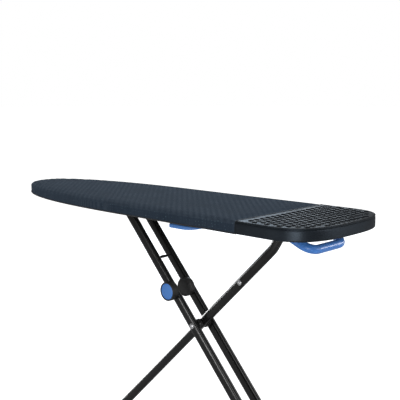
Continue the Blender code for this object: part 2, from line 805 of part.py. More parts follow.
def make_leg_brace(pivot, black, half_length):
    """A flat strip between the pair legs, twisted by half a turn."""
    place = on_pair_line(LEG_BRACE_FROM_CROSS)
    stations = 16
    rings = []
    for i in range(stations + 1):
        share = i / stations
        turn = math.pi * share + LEG_BRACE_LEAN
        wide = Vector((math.cos(turn), 0.0, math.sin(turn))) * LEG_BRACE_HALF[0]
        thin = Vector((-math.sin(turn), 0.0, math.cos(turn))) * LEG_BRACE_HALF[1]
        centre = Vector((place.x, -half_length + 2 * half_length * share, place.y))
        rings.append([centre - wide - thin, centre + wide - thin, centre + wide + thin, centre - wide + thin])
    add_object("leg_brace", loft(rings), black, pivot)


def make_hubs(pivot, black, blue, spring_steel):
    """A drum housing on the -Y side of each pair leg; the near one holds the push button."""
    place = on_pair_line(HUB_FROM_CROSS)
    hubs = (("near_hub", -PAIR_SPACING / 2, NEAR_HUB_FRONT), ("far_hub", PAIR_SPACING / 2, FAR_HUB_FRONT))
    for name, y, reach in hubs:
        profile = (
            (-reach, 0.0),
            (-reach, HUB_RADIUS - 0.0012),
            (-reach + 0.0012, HUB_RADIUS),
            (-HUB_BACK - 0.0012, HUB_RADIUS),
            (-HUB_BACK, HUB_RADIUS - 0.0012),
            (-HUB_BACK, 0.0),
        )
        hub = add_object(name + "_housing", turned_y((place.x, y, place.y), profile, 36), black, pivot)
        grown = (PAIR_TUBE[0] + GAP, PAIR_TUBE[1] + GAP)
        boolean(hub, rod(pair_path(y, 0.01), (0, 1, 0), grown), "DIFFERENCE", "tube_seat")
        front = y - reach
        depth = POCKET_DEPTH if name == "near_hub" else CAP_POCKET_DEPTH
        ends = ((place.x, front - depth, place.y), (place.x, front + depth, place.y))
        boolean(hub, cylinder(*ends, POCKET_RADIUS, 36), "DIFFERENCE", "pocket")
        if name == "near_hub":
            make_button(blue, spring_steel, (place.x, front, place.y), pivot)
        else:
            disc = turned_y((place.x, front, place.y), domed_disc(0.0003, CAP_POCKET_DEPTH - GAP, 0.0), 36)
            add_object("far_hub_cap", disc, black, pivot)


def domed_disc(start, end, crown):
    """Profile of a disc that fits the hub's pocket, with a softened rim and a crown on its face."""
    radius = POCKET_RADIUS - GAP
    return (
        (start - crown, 0.0),
        (start - crown * 0.75, radius * 0.5),
        (start - crown * 0.25, radius * 0.86),
        (start + 0.0006, radius - 0.0002),
        (start + 0.0016, radius),
        (end, radius),
        (end, 0.0),
    )


def make_button(blue, spring_steel, face, pivot):
    """The push button: its origin is on its own line of travel."""
    profile = domed_disc(BUTTON_SINK, BUTTON_SINK + BUTTON_THICK, BUTTON_CROWN)
    add_object("lock_button", turned_y(face, profile, 36), blue, pivot, face)
    x, y, z = face
    start = y + BUTTON_SINK + BUTTON_THICK + BUTTON_SPRING_PLAY
    length = POCKET_DEPTH - BUTTON_SINK - BUTTON_THICK - 2 * BUTTON_SPRING_PLAY
    add_object("button_spring", helix_y((x, start, z), 0.009, 0.0005, length, 3), spring_steel, pivot)


def make_tail_leg(pivot, black, chrome):
    """The single rear leg: straight through the crossing, with a knee just under the board."""
    hinge = Vector((along(HINGE_AT), 0.0, below(PIVOT_BELOW)))
    knee = Vector((along(TAIL_LEG_KNEE[0]), 0.0, below(TAIL_LEG_KNEE[1])))
    foot = Vector((tail_foot_x(), 0.0, FOOT_AXIS_HEIGHT))
    top = hinge + (hinge - knee).normalized() * TOP_OVERRUN
    path = rounded_path((top, knee, foot), KNEE_RADIUS, 7)
    leg = add_object("tail_leg_tube", tube(path, (0, 1, 0), TAIL_TUBE, TUBE_WALL), black, pivot)
    cross = Vector((along(CROSS_AT), 0.0, below(CROSS_BELOW)))
    rivet = cross + (knee - cross).normalized() * RIVET_FROM_CROSS
    boolean(leg, foot_saddle(foot.x), "DIFFERENCE", "saddle")
    for label, place in (("hinge_hole", hinge), ("axle_hole", cross), ("rivet_hole", rivet)):
        hole = cylinder(place - Vector((0, 0.05, 0)), place + Vector((0, 0.05, 0)), AXLE_RADIUS + GAP)
        boolean(leg, hole, "DIFFERENCE", label)
    add_object("tail_leg_rivet", axle_with_heads(rivet, TAIL_TUBE[1] + GAP), chrome, pivot)


def foot_cap(x, hand):
    """A rubber cup over a foot bar's end, with a flat along its underside."""
    inner_end = hand * (FOOT_BAR_HALF + GAP)
    outer_end = hand * (FOOT_BAR_HALF + FOOT_CAP_END)
    mouth = hand * (FOOT_BAR_HALF + FOOT_CAP_END - FOOT_CAP_LENGTH)
    sides = TUBE_SIDES

    def ring(y, radius):
        points = ellipse_ring((x, y, FOOT_AXIS_HEIGHT), (radius, 0, 0), (0, 0, radius), sides)
        return [Vector((p.x, p.y, max(p.z, 0.0))) for p in points]

    crown = outer_end - hand * 0.0015
    bore = FOOT_BAR_RADIUS + GAP
    levels = ((mouth, FOOT_CAP_RADIUS), (crown, FOOT_CAP_RADIUS), (outer_end, FOOT_CAP_RADIUS - 0.0012))
    outside = [ring(y, radius) for y, radius in levels]
    inside = [ring(inner_end, bore), ring(mouth, bore)]
    bm = bmesh.new()
    skins = [[[bm.verts.new(p) for p in r] for r in chain] for chain in (outside, inside)]
    strips = [(skins[1][-1], skins[0][0])]
    for chain in skins:
        strips += list(zip(chain, chain[1:]))
    for first, second in strips:
        for i in range(sides):
            j = (i + 1) % sides
            bm.faces.new((first[i], first[j], second[j], second[i]))
    bm.faces.new(skins[0][-1])
    bm.faces.new(skins[1][0])
    return bm


def make_foot(name, x, pivot, black, rubber):
    ends = [(x, -FOOT_BAR_HALF, FOOT_AXIS_HEIGHT), (x, FOOT_BAR_HALF, FOOT_AXIS_HEIGHT)]
    halves = (FOOT_BAR_RADIUS, FOOT_BAR_RADIUS)
    add_object(f"{name}_foot_bar", tube(ends, (1, 0, 0), halves, TUBE_WALL), black, pivot)
    for label, hand in (("near", -1), ("far", 1)):
        add_object(f"{name}_foot_cap_{label}", foot_cap(x, hand), rubber, pivot)


def make_carriage(pivot, steel, plastic):
    """The shaft through the tops of the pair legs, and the shoes that slide in the rails."""
    x, _, z = pivot.location
    shaft_half = SHOE_OUTER - 0.002
    ends = ((x, -shaft_half, z), (x, shaft_half, z))
    add_object("slide_shaft", cylinder(*ends, SHAFT_RADIUS), steel, pivot, pivot.location)
    for name, hand in (("near_shoe", -1), ("far_shoe", 1)):
        ys = sorted((hand * (RAIL_INNER - 0.002), hand * SHOE_OUTER))
        low = (x - SHOE_LENGTH / 2, ys[0], z - SHOE_HEIGHT / 2)
        high = (x + SHOE_LENGTH / 2, ys[1], z + SHOE_HEIGHT / 2)
        shoe = add_object(name, bevelled_box(low, high, 0.0015), plastic, pivot)
        hole = cylinder((x, ys[0] - 0.01, z), (x, ys[1] + 0.01, z), SHAFT_RADIUS + GAP)
        boolean(shoe, hole, "DIFFERENCE", "shaft_hole")


def main():
    clear_scene()
    fabric = material("cover_fabric", (0.043, 0.056, 0.072), 0.85)
    silicone = material("rest_silicone", (0.045, 0.052, 0.062), 0.5)
    felt = material("pad_felt", (0.45, 0.45, 0.43), 0.95)
    black = material("leg_enamel", (0.010, 0.010, 0.010), 0.35, 0.2)
    black_plastic = material("hub_plastic", (0.012, 0.012, 0.012), 0.45)
    blue = material("blue_plastic", (0.085, 0.195, 0.485), 0.4)
    steel = material("deck_steel", (0.05, 0.05, 0.05), 0.4, 0.6)
    zinc = material("zinc_steel", (0.55, 0.55, 0.55), 0.35, 1.0)
    chrome = material("chrome", (0.8, 0.8, 0.8), 0.12, 1.0)
    rubber = material("foot_rubber", (0.02, 0.02, 0.02), 0.7)

    make_cover(fabric, silicone)
    spine_top = make_board_layers(felt, steel)
    brace_top, rail_top = make_underframe(steel, spine_top)
    make_rails(zinc, rail_top)
    make_hinge_bracket(steel, chrome, brace_top)
    make_handle(blue, zinc, brace_top)

    release_pivot = add_pivot("release_pivot", (along(LEVER_ENDS[0]), 0.0, below(ROD_BELOW)))
    make_release(release_pivot, blue, zinc, zinc, brace_top)

    tail_pivot = add_pivot("tail_leg_pivot", (along(HINGE_AT), 0.0, below(PIVOT_BELOW)))
    make_tail_leg(tail_pivot, black, chrome)
    make_foot("tail", tail_foot_x(), tail_pivot, black, rubber)

    pair_pivot = add_pivot("pair_legs_pivot", (along(CROSS_AT), 0.0, below(CROSS_BELOW)))
    make_pair_legs(pair_pivot, black, chrome)
    make_hubs(pair_pivot, black_plastic, blue, zinc)
    make_foot("pair", pair_foot_x(), pair_pivot, black, rubber)

    slide_pivot = add_pivot("slide_pivot", (along(SLIDE_AT), 0.0, below(PIVOT_BELOW)))
    make_carriage(slide_pivot, zinc, black_plastic)


main()
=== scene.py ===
"""Looks of the folding ironing board: fabric cover, silicone iron rest, mesh deck, plastic and enamel.

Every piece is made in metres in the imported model's own frame: +X is the tail with the iron rest,
-X the nose, -Y the side of the lever and the button, +Z up.
"""

import json
import math

import bmesh
import bpy
import numpy as np
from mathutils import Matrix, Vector, noise


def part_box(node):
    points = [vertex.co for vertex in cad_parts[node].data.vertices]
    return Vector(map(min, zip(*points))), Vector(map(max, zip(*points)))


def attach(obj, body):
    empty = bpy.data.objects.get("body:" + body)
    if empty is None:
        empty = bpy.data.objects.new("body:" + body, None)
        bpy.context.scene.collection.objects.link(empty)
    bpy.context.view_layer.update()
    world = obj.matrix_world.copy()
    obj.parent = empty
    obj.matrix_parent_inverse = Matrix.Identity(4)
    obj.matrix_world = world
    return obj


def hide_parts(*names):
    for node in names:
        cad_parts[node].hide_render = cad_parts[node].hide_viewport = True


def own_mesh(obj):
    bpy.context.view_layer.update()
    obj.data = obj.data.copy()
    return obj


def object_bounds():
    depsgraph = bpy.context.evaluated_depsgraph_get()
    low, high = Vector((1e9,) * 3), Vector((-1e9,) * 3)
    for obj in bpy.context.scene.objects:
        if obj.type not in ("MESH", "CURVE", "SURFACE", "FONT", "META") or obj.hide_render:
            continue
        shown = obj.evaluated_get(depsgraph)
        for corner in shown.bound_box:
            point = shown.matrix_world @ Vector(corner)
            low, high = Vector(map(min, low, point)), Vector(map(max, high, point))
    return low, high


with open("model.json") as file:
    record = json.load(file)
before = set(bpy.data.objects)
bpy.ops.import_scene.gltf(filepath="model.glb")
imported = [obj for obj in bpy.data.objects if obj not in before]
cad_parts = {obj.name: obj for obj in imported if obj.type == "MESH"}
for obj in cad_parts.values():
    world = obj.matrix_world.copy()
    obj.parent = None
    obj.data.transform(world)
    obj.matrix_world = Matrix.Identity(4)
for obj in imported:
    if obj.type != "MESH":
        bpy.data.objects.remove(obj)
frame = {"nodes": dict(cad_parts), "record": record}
CAD_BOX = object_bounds()

TOP = CAD_BOX[1].z
HALF_LENGTH = (CAD_BOX[1].x - CAD_BOX[0].x) / 2
HALF_WIDTH = (CAD_BOX[1].y - CAD_BOX[0].y) / 2
SEAM_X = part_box("iron_rest")[0].x
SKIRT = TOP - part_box("board_cover")[0].z
ALONG = Vector((1, 0, 0))
ACROSS = Vector((0, 1, 0))
UP = Vector((0, 0, 1))

# The board's outline, the same curve as the frame's.
TAIL_DEPTH = 0.130
TAIL_ROUNDNESS = 2.9
NOSE_DEPTH = 0.645
NOSE_TAPER = 2.45
NOSE_ROUNDNESS = 2.07


# ------------ camera, floor and light

CAMERA_PLACE = (1.578, -1.5131, 1.208)
CAMERA_AZIMUTH = math.radians(43.617)
CAMERA_ELEVATION = math.radians(8.323)
LENS = 66.015
SENSOR_WIDTH = 36.0
CLIP_END = 200.0
FLOOR_RADIUS = 60.0
FLOOR_HEIGHT = -0.0004
FLOOR_GREY = 0.72
ROOM_LIGHT = 0.25
WHITE = (1.0, 1.0, 1.0)
COOL = (0.78, 0.89, 1.0)
BLUE_SKY = (0.40, 0.68, 1.0)
# Each lamp's name, place, target, size, watts and colour.
LAMPS = [
    ("key", (2.6, -3.4, 3.0), (0.1, 0.0, 0.75), (2.4, 1.8), 50.0, WHITE),
    ("low", (3.0, -2.8, 0.7), (0.1, 0.0, 0.75), (1.2, 1.0), 27.0, WHITE),
    ("right", (3.2, 1.3, 1.9), (0.4, 0.0, 0.8), (1.4, 1.4), 26.0, WHITE),
    ("top", (-0.2, 0.2, 3.6), (0.0, 0.0, 0.8), (3.0, 1.8), 14.0, WHITE),
    ("left", (-2.2, -3.4, 2.4), (0.0, 0.0, 0.75), (1.6, 1.6), 7.0, WHITE),
    ("strip", (-1.0, -3.2, 0.25), (0.15, 0.0, 0.45), (0.20, 1.3), 12.0, WHITE),
    ("back", (-3.4, 2.8, 1.2), (0.1, 0.0, 0.75), (4.2, 1.8), 60.0, COOL),
    ("behind", (-1.9, 2.1, 0.02), (-1.9, 2.1, 5.0), (2.6, 2.2), 22.0, WHITE),
]
PAIR_LEGS = ["near_leg_oval", "far_leg_oval"]
# Lamps that only put a highlight on the pieces named.
GLINTS = [
    (("rim", (-3.2, -0.3, 0.45), (0.1, 0.0, 0.55), (3.2, 0.9), 125.0, WHITE), ["tail_leg_oval"]),
    (("edge", (1.5, 3.0, 1.7), (0.15, 0.0, 0.3), (2.6, 2.2), 30.0, WHITE), PAIR_LEGS),
    (("line", (-0.65, -3.0, 0.3), (0.2, 0.0, 0.4), (1.1, 1.1), 24.0, WHITE), PAIR_LEGS),
    (("corner", (2.2, -2.9, 0.55), (0.5, -0.1, 0.88), (1.8, 0.8), 50.0, WHITE), ["rest_boot"]),
    (("end", (2.9, 2.0, 0.65), (0.6, 0.0, 0.88), (1.6, 0.8), 8.0, COOL), ["rest_boot"]),
    (("sheen", (-3.4, 2.8, 1.3), (0.5, 0.0, 0.9), (3.0, 1.2), 17.0, BLUE_SKY), ["rest_boot"]),
    (("tops", (-3.2, 2.7, 1.6), (0.5, 0.0, 0.9), (3.0, 1.2), 12.0, COOL), ["rest_studs"]),
    (("grip", (1.95, 2.6, 1.25), (0.58, 0.0, 0.83), (1.4, 0.4), 30.0, WHITE), ["carry_grip"]),
]


def aim(obj, place, target):
    obj.location = place
    obj.rotation_euler = (Vector(place) - Vector(target)).to_track_quat("Z", "Y").to_euler()


def make_camera():
    data = bpy.data.cameras.new("camera")
    data.lens = LENS
    data.sensor_width = SENSOR_WIDTH
    data.clip_end = CLIP_END
    camera = bpy.data.objects.new("camera", data)
    bpy.context.scene.collection.objects.link(camera)
    flat = Vector((math.sin(CAMERA_AZIMUTH), -math.cos(CAMERA_AZIMUTH), 0.0))
    back = flat * math.cos(CAMERA_ELEVATION) + Vector((0.0, 0.0, math.sin(CAMERA_ELEVATION)))
    place = Vector(CAMERA_PLACE)
    aim(camera, place, place - back)
    bpy.context.scene.camera = camera


def area_light(name, place, target, size, power, colour):
    data = bpy.data.lights.new(name, "AREA")
    data.shape = "RECTANGLE"
    data.size = size[0]
    data.size_y = size[1]
    data.energy = power
    data.color = colour
    lamp = bpy.data.objects.new(name, data)
    bpy.context.scene.collection.objects.link(lamp)
    aim(lamp, place, target)
    return lamp


def make_stage():
    """A plain white floor and backdrop, and soft lamps over, in front of and beside the object."""
    bm = bmesh.new()
    bmesh.ops.create_circle(bm, cap_ends=True, radius=FLOOR_RADIUS, segments=96)
    mesh = bpy.data.meshes.new("floor")
    bm.to_mesh(mesh)
    bm.free()
    floor = bpy.data.objects.new("floor", mesh)
    bpy.context.scene.collection.objects.link(floor)
    floor.location.z = FLOOR_HEIGHT
    p = Paint(
        "floor_paint",
        Base_Color=(FLOOR_GREY, FLOOR_GREY, FLOOR_GREY, 1.0),
        Roughness=0.95,
        Specular_IOR_Level=0.0,
        Emission_Color=(1.0, 1.0, 1.0, 1.0),
    )
    p.set("Emission Strength", p.add("LightPath").outputs["Is Camera Ray"])
    mesh.materials.append(p.material)
    world = bpy.data.worlds.new("studio")
    world.use_nodes = True
    nodes = world.node_tree.nodes
    links = world.node_tree.links
    sky = nodes["Background"]
    sky.inputs["Color"].default_value = (1.0, 1.0, 1.0, 1.0)
    seen = nodes.new("ShaderNodeLightPath")
    level = nodes.new("ShaderNodeMapRange")
    level.inputs["To Min"].default_value = ROOM_LIGHT
    level.inputs["To Max"].default_value = 1.0
    links.new(seen.outputs["Is Camera Ray"], level.inputs["Value"])
    links.new(level.outputs["Result"], sky.inputs["Strength"])
    bpy.context.scene.world = world
    for lamp in LAMPS:
        area_light(*lamp)
    bpy.context.scene.view_settings.view_transform = "Standard"


def make_glints():
    """The highlight lamps, each linked to the pieces it shows on."""
    for lamp, names in GLINTS:
        lit = bpy.data.collections.new(lamp[0] + "_pieces")
        for name in names:
            lit.objects.link(bpy.data.objects[name])
        glint = area_light(*lamp)
        glint.visible_diffuse = False
        glint.light_linking.receiver_collection = lit


# ------------ materials


class Paint:
    """A node material under construction."""

    def __init__(self, name, **sockets):
        self.material = bpy.data.materials.new(name)
        self.material.use_nodes = True
        self.nodes = self.material.node_tree.nodes
        self.links = self.material.node_tree.links
        self.shader = self.nodes["Principled BSDF"]
        for socket, value in sockets.items():
            self.shader.inputs[socket.replace("_", " ")].default_value = value
        self.place = self.nodes.new("ShaderNodeTexCoord").outputs["Object"]

    def add(self, kind, inputs=None, **settings):
        node = self.nodes.new("ShaderNode" + kind)
        for key, value in settings.items():
            setattr(node, key, value)
        for key, value in (inputs or {}).items():
            if isinstance(value, bpy.types.NodeSocket):
                self.links.new(value, node.inputs[key])
            else:
                node.inputs[key].default_value = value
        return node

    def mapped(self, scale=(1, 1, 1), rotation=(0, 0, 0)):
        inputs = {"Vector": self.place, "Scale": scale, "Rotation": rotation}
        return self.add("Mapping", inputs).outputs["Vector"]

    def noise(self, scale, detail=3.0, vector=None, roughness=0.5):
        inputs = {"Vector": vector or self.place, "Scale": scale, "Detail": detail, "Roughness": roughness}
        return self.add("TexNoise", inputs).outputs["Fac"]

    def wave(self, scale, vector=None, axis="X", distortion=0.0):
        inputs = {"Vector": vector or self.place, "Scale": scale, "Distortion": distortion}
        return self.add("TexWave", inputs, wave_type="BANDS", bands_direction=axis).outputs["Fac"]

    def cells(self, scale, vector, randomness):
        inputs = {"Vector": vector, "Scale": scale, "Randomness": randomness}
        return self.add("TexVoronoi", inputs, feature="F1").outputs["Distance"]

    def math(self, operation, a, b=0.5, clamp=False):
        return self.add("Math", {0: a, 1: b}, operation=operation, use_clamp=clamp).outputs[0]

    def span(self, value, low, high, start=0.0, end=1.0):
        inputs = {"Value": value, "From Min": low, "From Max": high, "To Min": start, "To Max": end}
        return self.add("MapRange", inputs).outputs["Result"]

    def ramp(self, value, stops):
        node = self.add("ValToRGB", {"Fac": value})
        ramp = node.color_ramp
        while len(ramp.elements) < len(stops):
            ramp.elements.new(0.5)
        for element, (at, colour) in zip(ramp.elements, stops):
            element.position = at
            element.color = (*colour, 1.0)
        return node.outputs["Color"]

    def blend(self, share, first, second):
        node = self.add("Mix", data_type="RGBA")
        for key, value in (("Factor", share), ("A", first), ("B", second)):
            found = [s for s in node.inputs if s.name == key and s.enabled][0]
            if isinstance(value, bpy.types.NodeSocket):
                self.links.new(value, found)
            else:
                found.default_value = (*value, 1.0) if isinstance(value, tuple) else value
        return [s for s in node.outputs if s.enabled][0]

    def set(self, socket, value):
        self.links.new(value, self.shader.inputs[socket])

    def bump(self, height, distance, strength=1.0, under=None):
        inputs = {"Height": height, "Distance": distance, "Strength": strength}
        if under is not None:
            inputs["Normal"] = under
        made = self.add("Bump", inputs).outputs["Normal"]
        self.set("Normal", made)
        return made


def srgb(*channels):
    """Linear colour of an sRGB colour given in 0 to 255."""
    values = [c / 255 for c in channels]
    return tuple(v / 12.92 if v <= 0.04045 else ((v + 0.055) / 1.055) ** 2.4 for v in values)


def cover_paint():
    p = Paint(
        "cover_weave",
        Roughness=0.88,
        Sheen_Weight=0.05,
        Sheen_Roughness=0.5,
        Sheen_Tint=(0.45, 0.68, 1.0, 1.0),
        Specular_IOR_Level=0.1,
        Specular_Tint=(0.50, 0.72, 1.0, 1.0),
    )
    threads_x = p.wave(620.0, axis="X", distortion=0.6)
    threads_y = p.wave(620.0, axis="Y", distortion=0.6)
    weave = p.math("MULTIPLY", threads_x, threads_y)
    slub = p.noise(38.0, 4.0, p.mapped((6.0, 0.7, 1.0)))
    mottle = p.noise(9.0, 5.0)
    base = p.ramp(p.math("ADD", p.math("MULTIPLY", slub, 0.55), p.math("MULTIPLY", mottle, 0.45)), [
        (0.30, srgb(38, 48, 59)),
        (0.52, srgb(45, 55, 67)),
        (0.74, srgb(52, 61, 73)),
    ])
    woven = p.blend(p.math("MULTIPLY", weave, 0.45), base, srgb(84, 92, 103))
    twill = p.mapped(rotation=(0.0, 0.0, math.radians(45)))
    height = p.add("SeparateXYZ", {"Vector": p.place}).outputs["Z"]
    stretched = p.span(height, TOP - 0.010, TOP - 0.002, 0.10, 1.0)
    rib = p.math("MULTIPLY", p.wave(21.0, twill, "Y", 0.5), p.span(mottle, 0.35, 0.65, 0.05, 0.28))
    rib = p.math("MULTIPLY", rib, stretched)
    ribbed = p.blend(rib, woven, srgb(96, 108, 122))
    flecks = p.span(p.cells(128.0, twill, 0.45), 0.13, 0.20, 1.0, 0.0)
    faded = p.span(p.noise(70.0, 2.0), 0.40, 0.75, 0.08, 0.75)
    p.set("Base Color", p.blend(p.math("MULTIPLY", flecks, faded), ribbed, srgb(104, 128, 140)))
    first = p.bump(weave, 0.0004, 0.55)
    p.bump(p.noise(55.0, 3.0), 0.0012, 0.25, first)
    p.set("Roughness", p.span(mottle, 0.3, 0.7, 0.82, 0.94))
    return p.material


def tape_paint(name, dark, light):
    p = Paint(name, Roughness=0.8, Sheen_Weight=0.2, Specular_IOR_Level=0.3)
    ribs = p.wave(300.0, axis="DIAGONAL")
    p.set("Base Color", p.ramp(p.math("MULTIPLY", ribs, p.noise(90.0)), [(0.1, dark), (0.75, light)]))
    p.bump(ribs, 0.0004, 0.6)
    return p.material


def silicone_paint(name, dark, light, gloss):
    p = Paint(name, Specular_IOR_Level=gloss, Specular_Tint=(0.66, 0.82, 1.0, 1.0))
    fine = p.noise(900.0, 2.0)
    broad = p.noise(14.0, 4.0)
    p.set("Base Color", p.ramp(broad, [(0.3, dark), (0.7, light)]))
    p.set("Roughness", p.span(broad, 0.3, 0.7, 0.38, 0.48))
    p.bump(fine, 0.00012, 0.35)
    return p.material


def felt_paint():
    p = Paint("pad_felt", Roughness=0.96, Sheen_Weight=0.5)
    fibres = p.noise(420.0, 6.0, p.mapped((1.0, 3.0, 1.0)), 0.7)
    p.set("Base Color", p.ramp(fibres, [(0.3, (0.30, 0.30, 0.29)), (0.7, (0.58, 0.57, 0.54))]))
    p.bump(fibres, 0.0010, 0.8)
    return p.material


def enamel_paint(name, dark, light, rough, grain=0.5):
    """Semi-gloss powder coat: orange peel, faint dust in the colour and rubbed edges."""
    p = Paint(name, Roughness=rough, Specular_IOR_Level=0.36)
    peel = p.noise(520.0, 3.0)
    broad = p.noise(11.0, 5.0)
    edges = p.add("NewGeometry").outputs["Pointiness"]
    worn = p.math("MULTIPLY", p.span(edges, 0.52, 0.60), p.noise(160.0, 3.0), clamp=True)
    base = p.ramp(broad, [(0.3, dark), (0.72, light)])
    p.set("Base Color", p.blend(p.math("MULTIPLY", worn, 0.5), base, (0.10, 0.10, 0.10)))
    p.set("Roughness", p.span(broad, 0.3, 0.7, rough - 0.05, rough + 0.07))
    p.bump(peel, 0.00006, grain)
    return p.material


def metal_paint(name, colour, rough, grain_scale, stretch):
    p = Paint(name, Metallic=1.0, Roughness=rough)
    streaks = p.noise(grain_scale, 4.0, p.mapped(stretch))
    dull = p.noise(23.0, 4.0)
    darker = tuple(0.72 * c for c in colour)
    p.set("Base Color", p.ramp(dull, [(0.3, darker), (0.7, colour)]))
    p.set("Roughness", p.span(streaks, 0.3, 0.7, rough * 0.75, rough * 1.35))
    p.bump(streaks, 0.0001, 0.25)
    return p.material


def plastic_paint(name, dark, light, rough, grain=0.35):
    p = Paint(name, Roughness=rough, Specular_IOR_Level=0.5)
    broad = p.noise(17.0, 3.0)
    fine = p.noise(1400.0, 2.0)
    scuffs = p.noise(60.0, 6.0, p.mapped((1.0, 5.0, 1.0)), 0.7)
    p.set("Base Color", p.ramp(broad, [(0.3, dark), (0.7, light)]))
    p.set("Roughness", p.span(scuffs, 0.35, 0.75, rough - 0.04, rough + 0.10))
    p.bump(fine, 0.00008, grain)
    return p.material


def rubber_paint():
    p = Paint("foot_rubber", Roughness=0.75, Specular_IOR_Level=0.35)
    dust = p.noise(48.0, 6.0, roughness=0.7)
    p.set("Base Color", p.ramp(dust, [(0.35, (0.012, 0.012, 0.012)), (0.8, (0.045, 0.044, 0.042))]))
    p.bump(p.noise(700.0), 0.0002, 0.5)
    return p.material


# ------------ mesh helpers


def finish_mesh(name, bm, paint, body, angle):
    """An object with world-space vertices that rides on a body, with sharp edges above the angle."""
    bmesh.ops.recalc_face_normals(bm, faces=bm.faces)
    mesh = bpy.data.meshes.new(name)
    bm.to_mesh(mesh)
    bm.free()
    mesh.shade_smooth()
    if angle is not None:
        mesh.set_sharp_from_angle(angle=math.radians(angle))
    obj = bpy.data.objects.new(name, mesh)
    bpy.context.scene.collection.objects.link(obj)
    mesh.materials.append(paint)
    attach(obj, body)
    return obj


def piece(name, bm, paint, body, angle, slot, *nodes):
    """A finished mesh with its paint, in place of the CAD nodes named; slot is not used."""
    obj = finish_mesh(name, bm, paint, body, angle)
    if nodes:
        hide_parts(*nodes)
    return obj


def thicken(obj, thickness):
    """Gives a skin its thickness, inwards."""
    thick = obj.modifiers.new("thickness", "SOLIDIFY")
    thick.thickness = thickness
    thick.offset = -1.0


def mm(*points):
    """Pairs given in millimetres, as a list in metres."""
    return [(a / 1000, b / 1000) for a, b in points]


def centre_of(node):
    low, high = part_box(node)
    return (low + high) / 2


def skin(rings, closed=False, caps=True, around=True, bm=None):
    """Quads through rings of points; around joins each ring's ends, closed joins last ring to first."""
    bm = bm or bmesh.new()
    loops = [[bm.verts.new(point) for point in ring] for ring in rings]
    count = len(loops[0])
    pairs = list(zip(loops, loops[1:]))
    if closed:
        pairs.append((loops[-1], loops[0]))
    for first, second in pairs:
        for i in range(count if around else count - 1):
            j = (i + 1) % count
            bm.faces.new((first[i], first[j], second[j], second[i]))
    if caps and not closed:
        bm.faces.new(loops[0])
        bm.faces.new(list(reversed(loops[-1])))
    return bm


def oval(centre, first, second, sides, power=2.0):
    """Points of an oval round centre, squarer as power rises above 2."""
    ring = []
    for i in range(sides):
        turn = 2 * math.pi * i / sides
        c = math.cos(turn)
        s = math.sin(turn)
        u = math.copysign(abs(c) ** (2 / power), c)
        v = math.copysign(abs(s) ** (2 / power), s)
        ring.append(Vector(centre) + Vector(first) * u + Vector(second) * v)
    return ring


def path_normals(path, side):
    found = []
    for i in range(len(path)):
        before = path[max(i - 1, 0)]
        after = path[min(i + 1, len(path) - 1)]
        found.append((after - before).normalized().cross(side).normalized())
    return found


def bent_path(corners, radius, steps):
    """A path through corners with each inner corner rounded to an arc."""
    corners = [Vector(c) for c in corners]
    path = [corners[0]]
    for before, corner, after in zip(corners, corners[1:], corners[2:]):
        back = (before - corner).normalized()
        ahead = (after - corner).normalized()
        half_turn = (math.pi - back.angle(ahead)) / 2
        cut = radius * math.tan(half_turn)
        centre = corner + (back + ahead).normalized() * (radius / math.cos(half_turn))
        first = corner + back * cut - centre
        last = corner + ahead * cut - centre
        whole = first.angle(last)
        for i in range(steps + 1):
            share = i / steps
            arm = first * math.sin((1 - share) * whole) + last * math.sin(share * whole)
            path.append(centre + arm / math.sin(whole))
    path.append(corners[-1])
    return path


def turned(centre, profile, axis, sides=48, bm=None):
    """A solid turned about an axis through centre, from (offset along the axis, radius) points."""
    axis = Vector(axis).normalized()
    first = axis.orthogonal().normalized()
    second = axis.cross(first)
    bm = bm or bmesh.new()
    rings = []
    for offset, radius in profile:
        middle = Vector(centre) + axis * offset
        if radius < 1e-7:
            rings.append([bm.verts.new(middle)])
        else:
            rings.append([bm.verts.new(p) for p in oval(middle, first * radius, second * radius, sides)])
    for a, b in zip(rings, rings[1:]):
        for i in range(sides):
            j = (i + 1) % sides
            face = []
            for vert in (a[i % len(a)], a[j % len(a)], b[j % len(b)], b[i % len(b)]):
                if vert not in face:
                    face.append(vert)
            if len(face) > 2:
                bm.faces.new(face)
    return bm


def rounded_box(bm, low, high, radius):
    """Adds a box with rounded edges to bm."""
    box = bmesh.new()
    bmesh.ops.create_cube(box, size=1.0)
    bmesh.ops.scale(box, vec=Vector(high) - Vector(low), verts=box.verts)
    bmesh.ops.translate(box, vec=(Vector(high) + Vector(low)) / 2, verts=box.verts)
    bmesh.ops.bevel(box, geom=box.edges[:], offset=radius, segments=4, profile=0.5, affect="EDGES")
    scratch = bpy.data.meshes.new("scratch")
    box.to_mesh(scratch)
    box.free()
    bm.from_mesh(scratch)
    bpy.data.meshes.remove(scratch)


def repaint(node, paint):
    """Gives a carried-over CAD node its own finish."""
    obj = frame["nodes"][node]
    for slot in obj.material_slots:
        slot.material = paint
    if not obj.material_slots:
        obj.data.materials.append(paint)


# ------------ the board's outline


def near_half():
    """Dense (x, y) points down the -Y side, from the middle of the tail to the tip of the nose."""
    turn = np.linspace(0, math.pi / 2, 1500)
    tail_d = TAIL_DEPTH * (1 - np.cos(turn).clip(0) ** (2 / TAIL_ROUNDNESS))
    tail_w = HALF_WIDTH * np.sin(turn) ** (2 / TAIL_ROUNDNESS)
    nose_d = 2 * HALF_LENGTH - NOSE_DEPTH * (1 - np.sin(turn) ** (2 / NOSE_TAPER))
    nose_w = HALF_WIDTH * np.cos(turn).clip(0) ** (2 / NOSE_ROUNDNESS)
    side_d = np.linspace(TAIL_DEPTH, 2 * HALF_LENGTH - NOSE_DEPTH, 400)[1:-1]
    d = np.concatenate((tail_d, side_d, nose_d))
    w = np.concatenate((tail_w, np.full(len(side_d), HALF_WIDTH), nose_w))
    return np.stack((HALF_LENGTH - d, -w), axis=1)


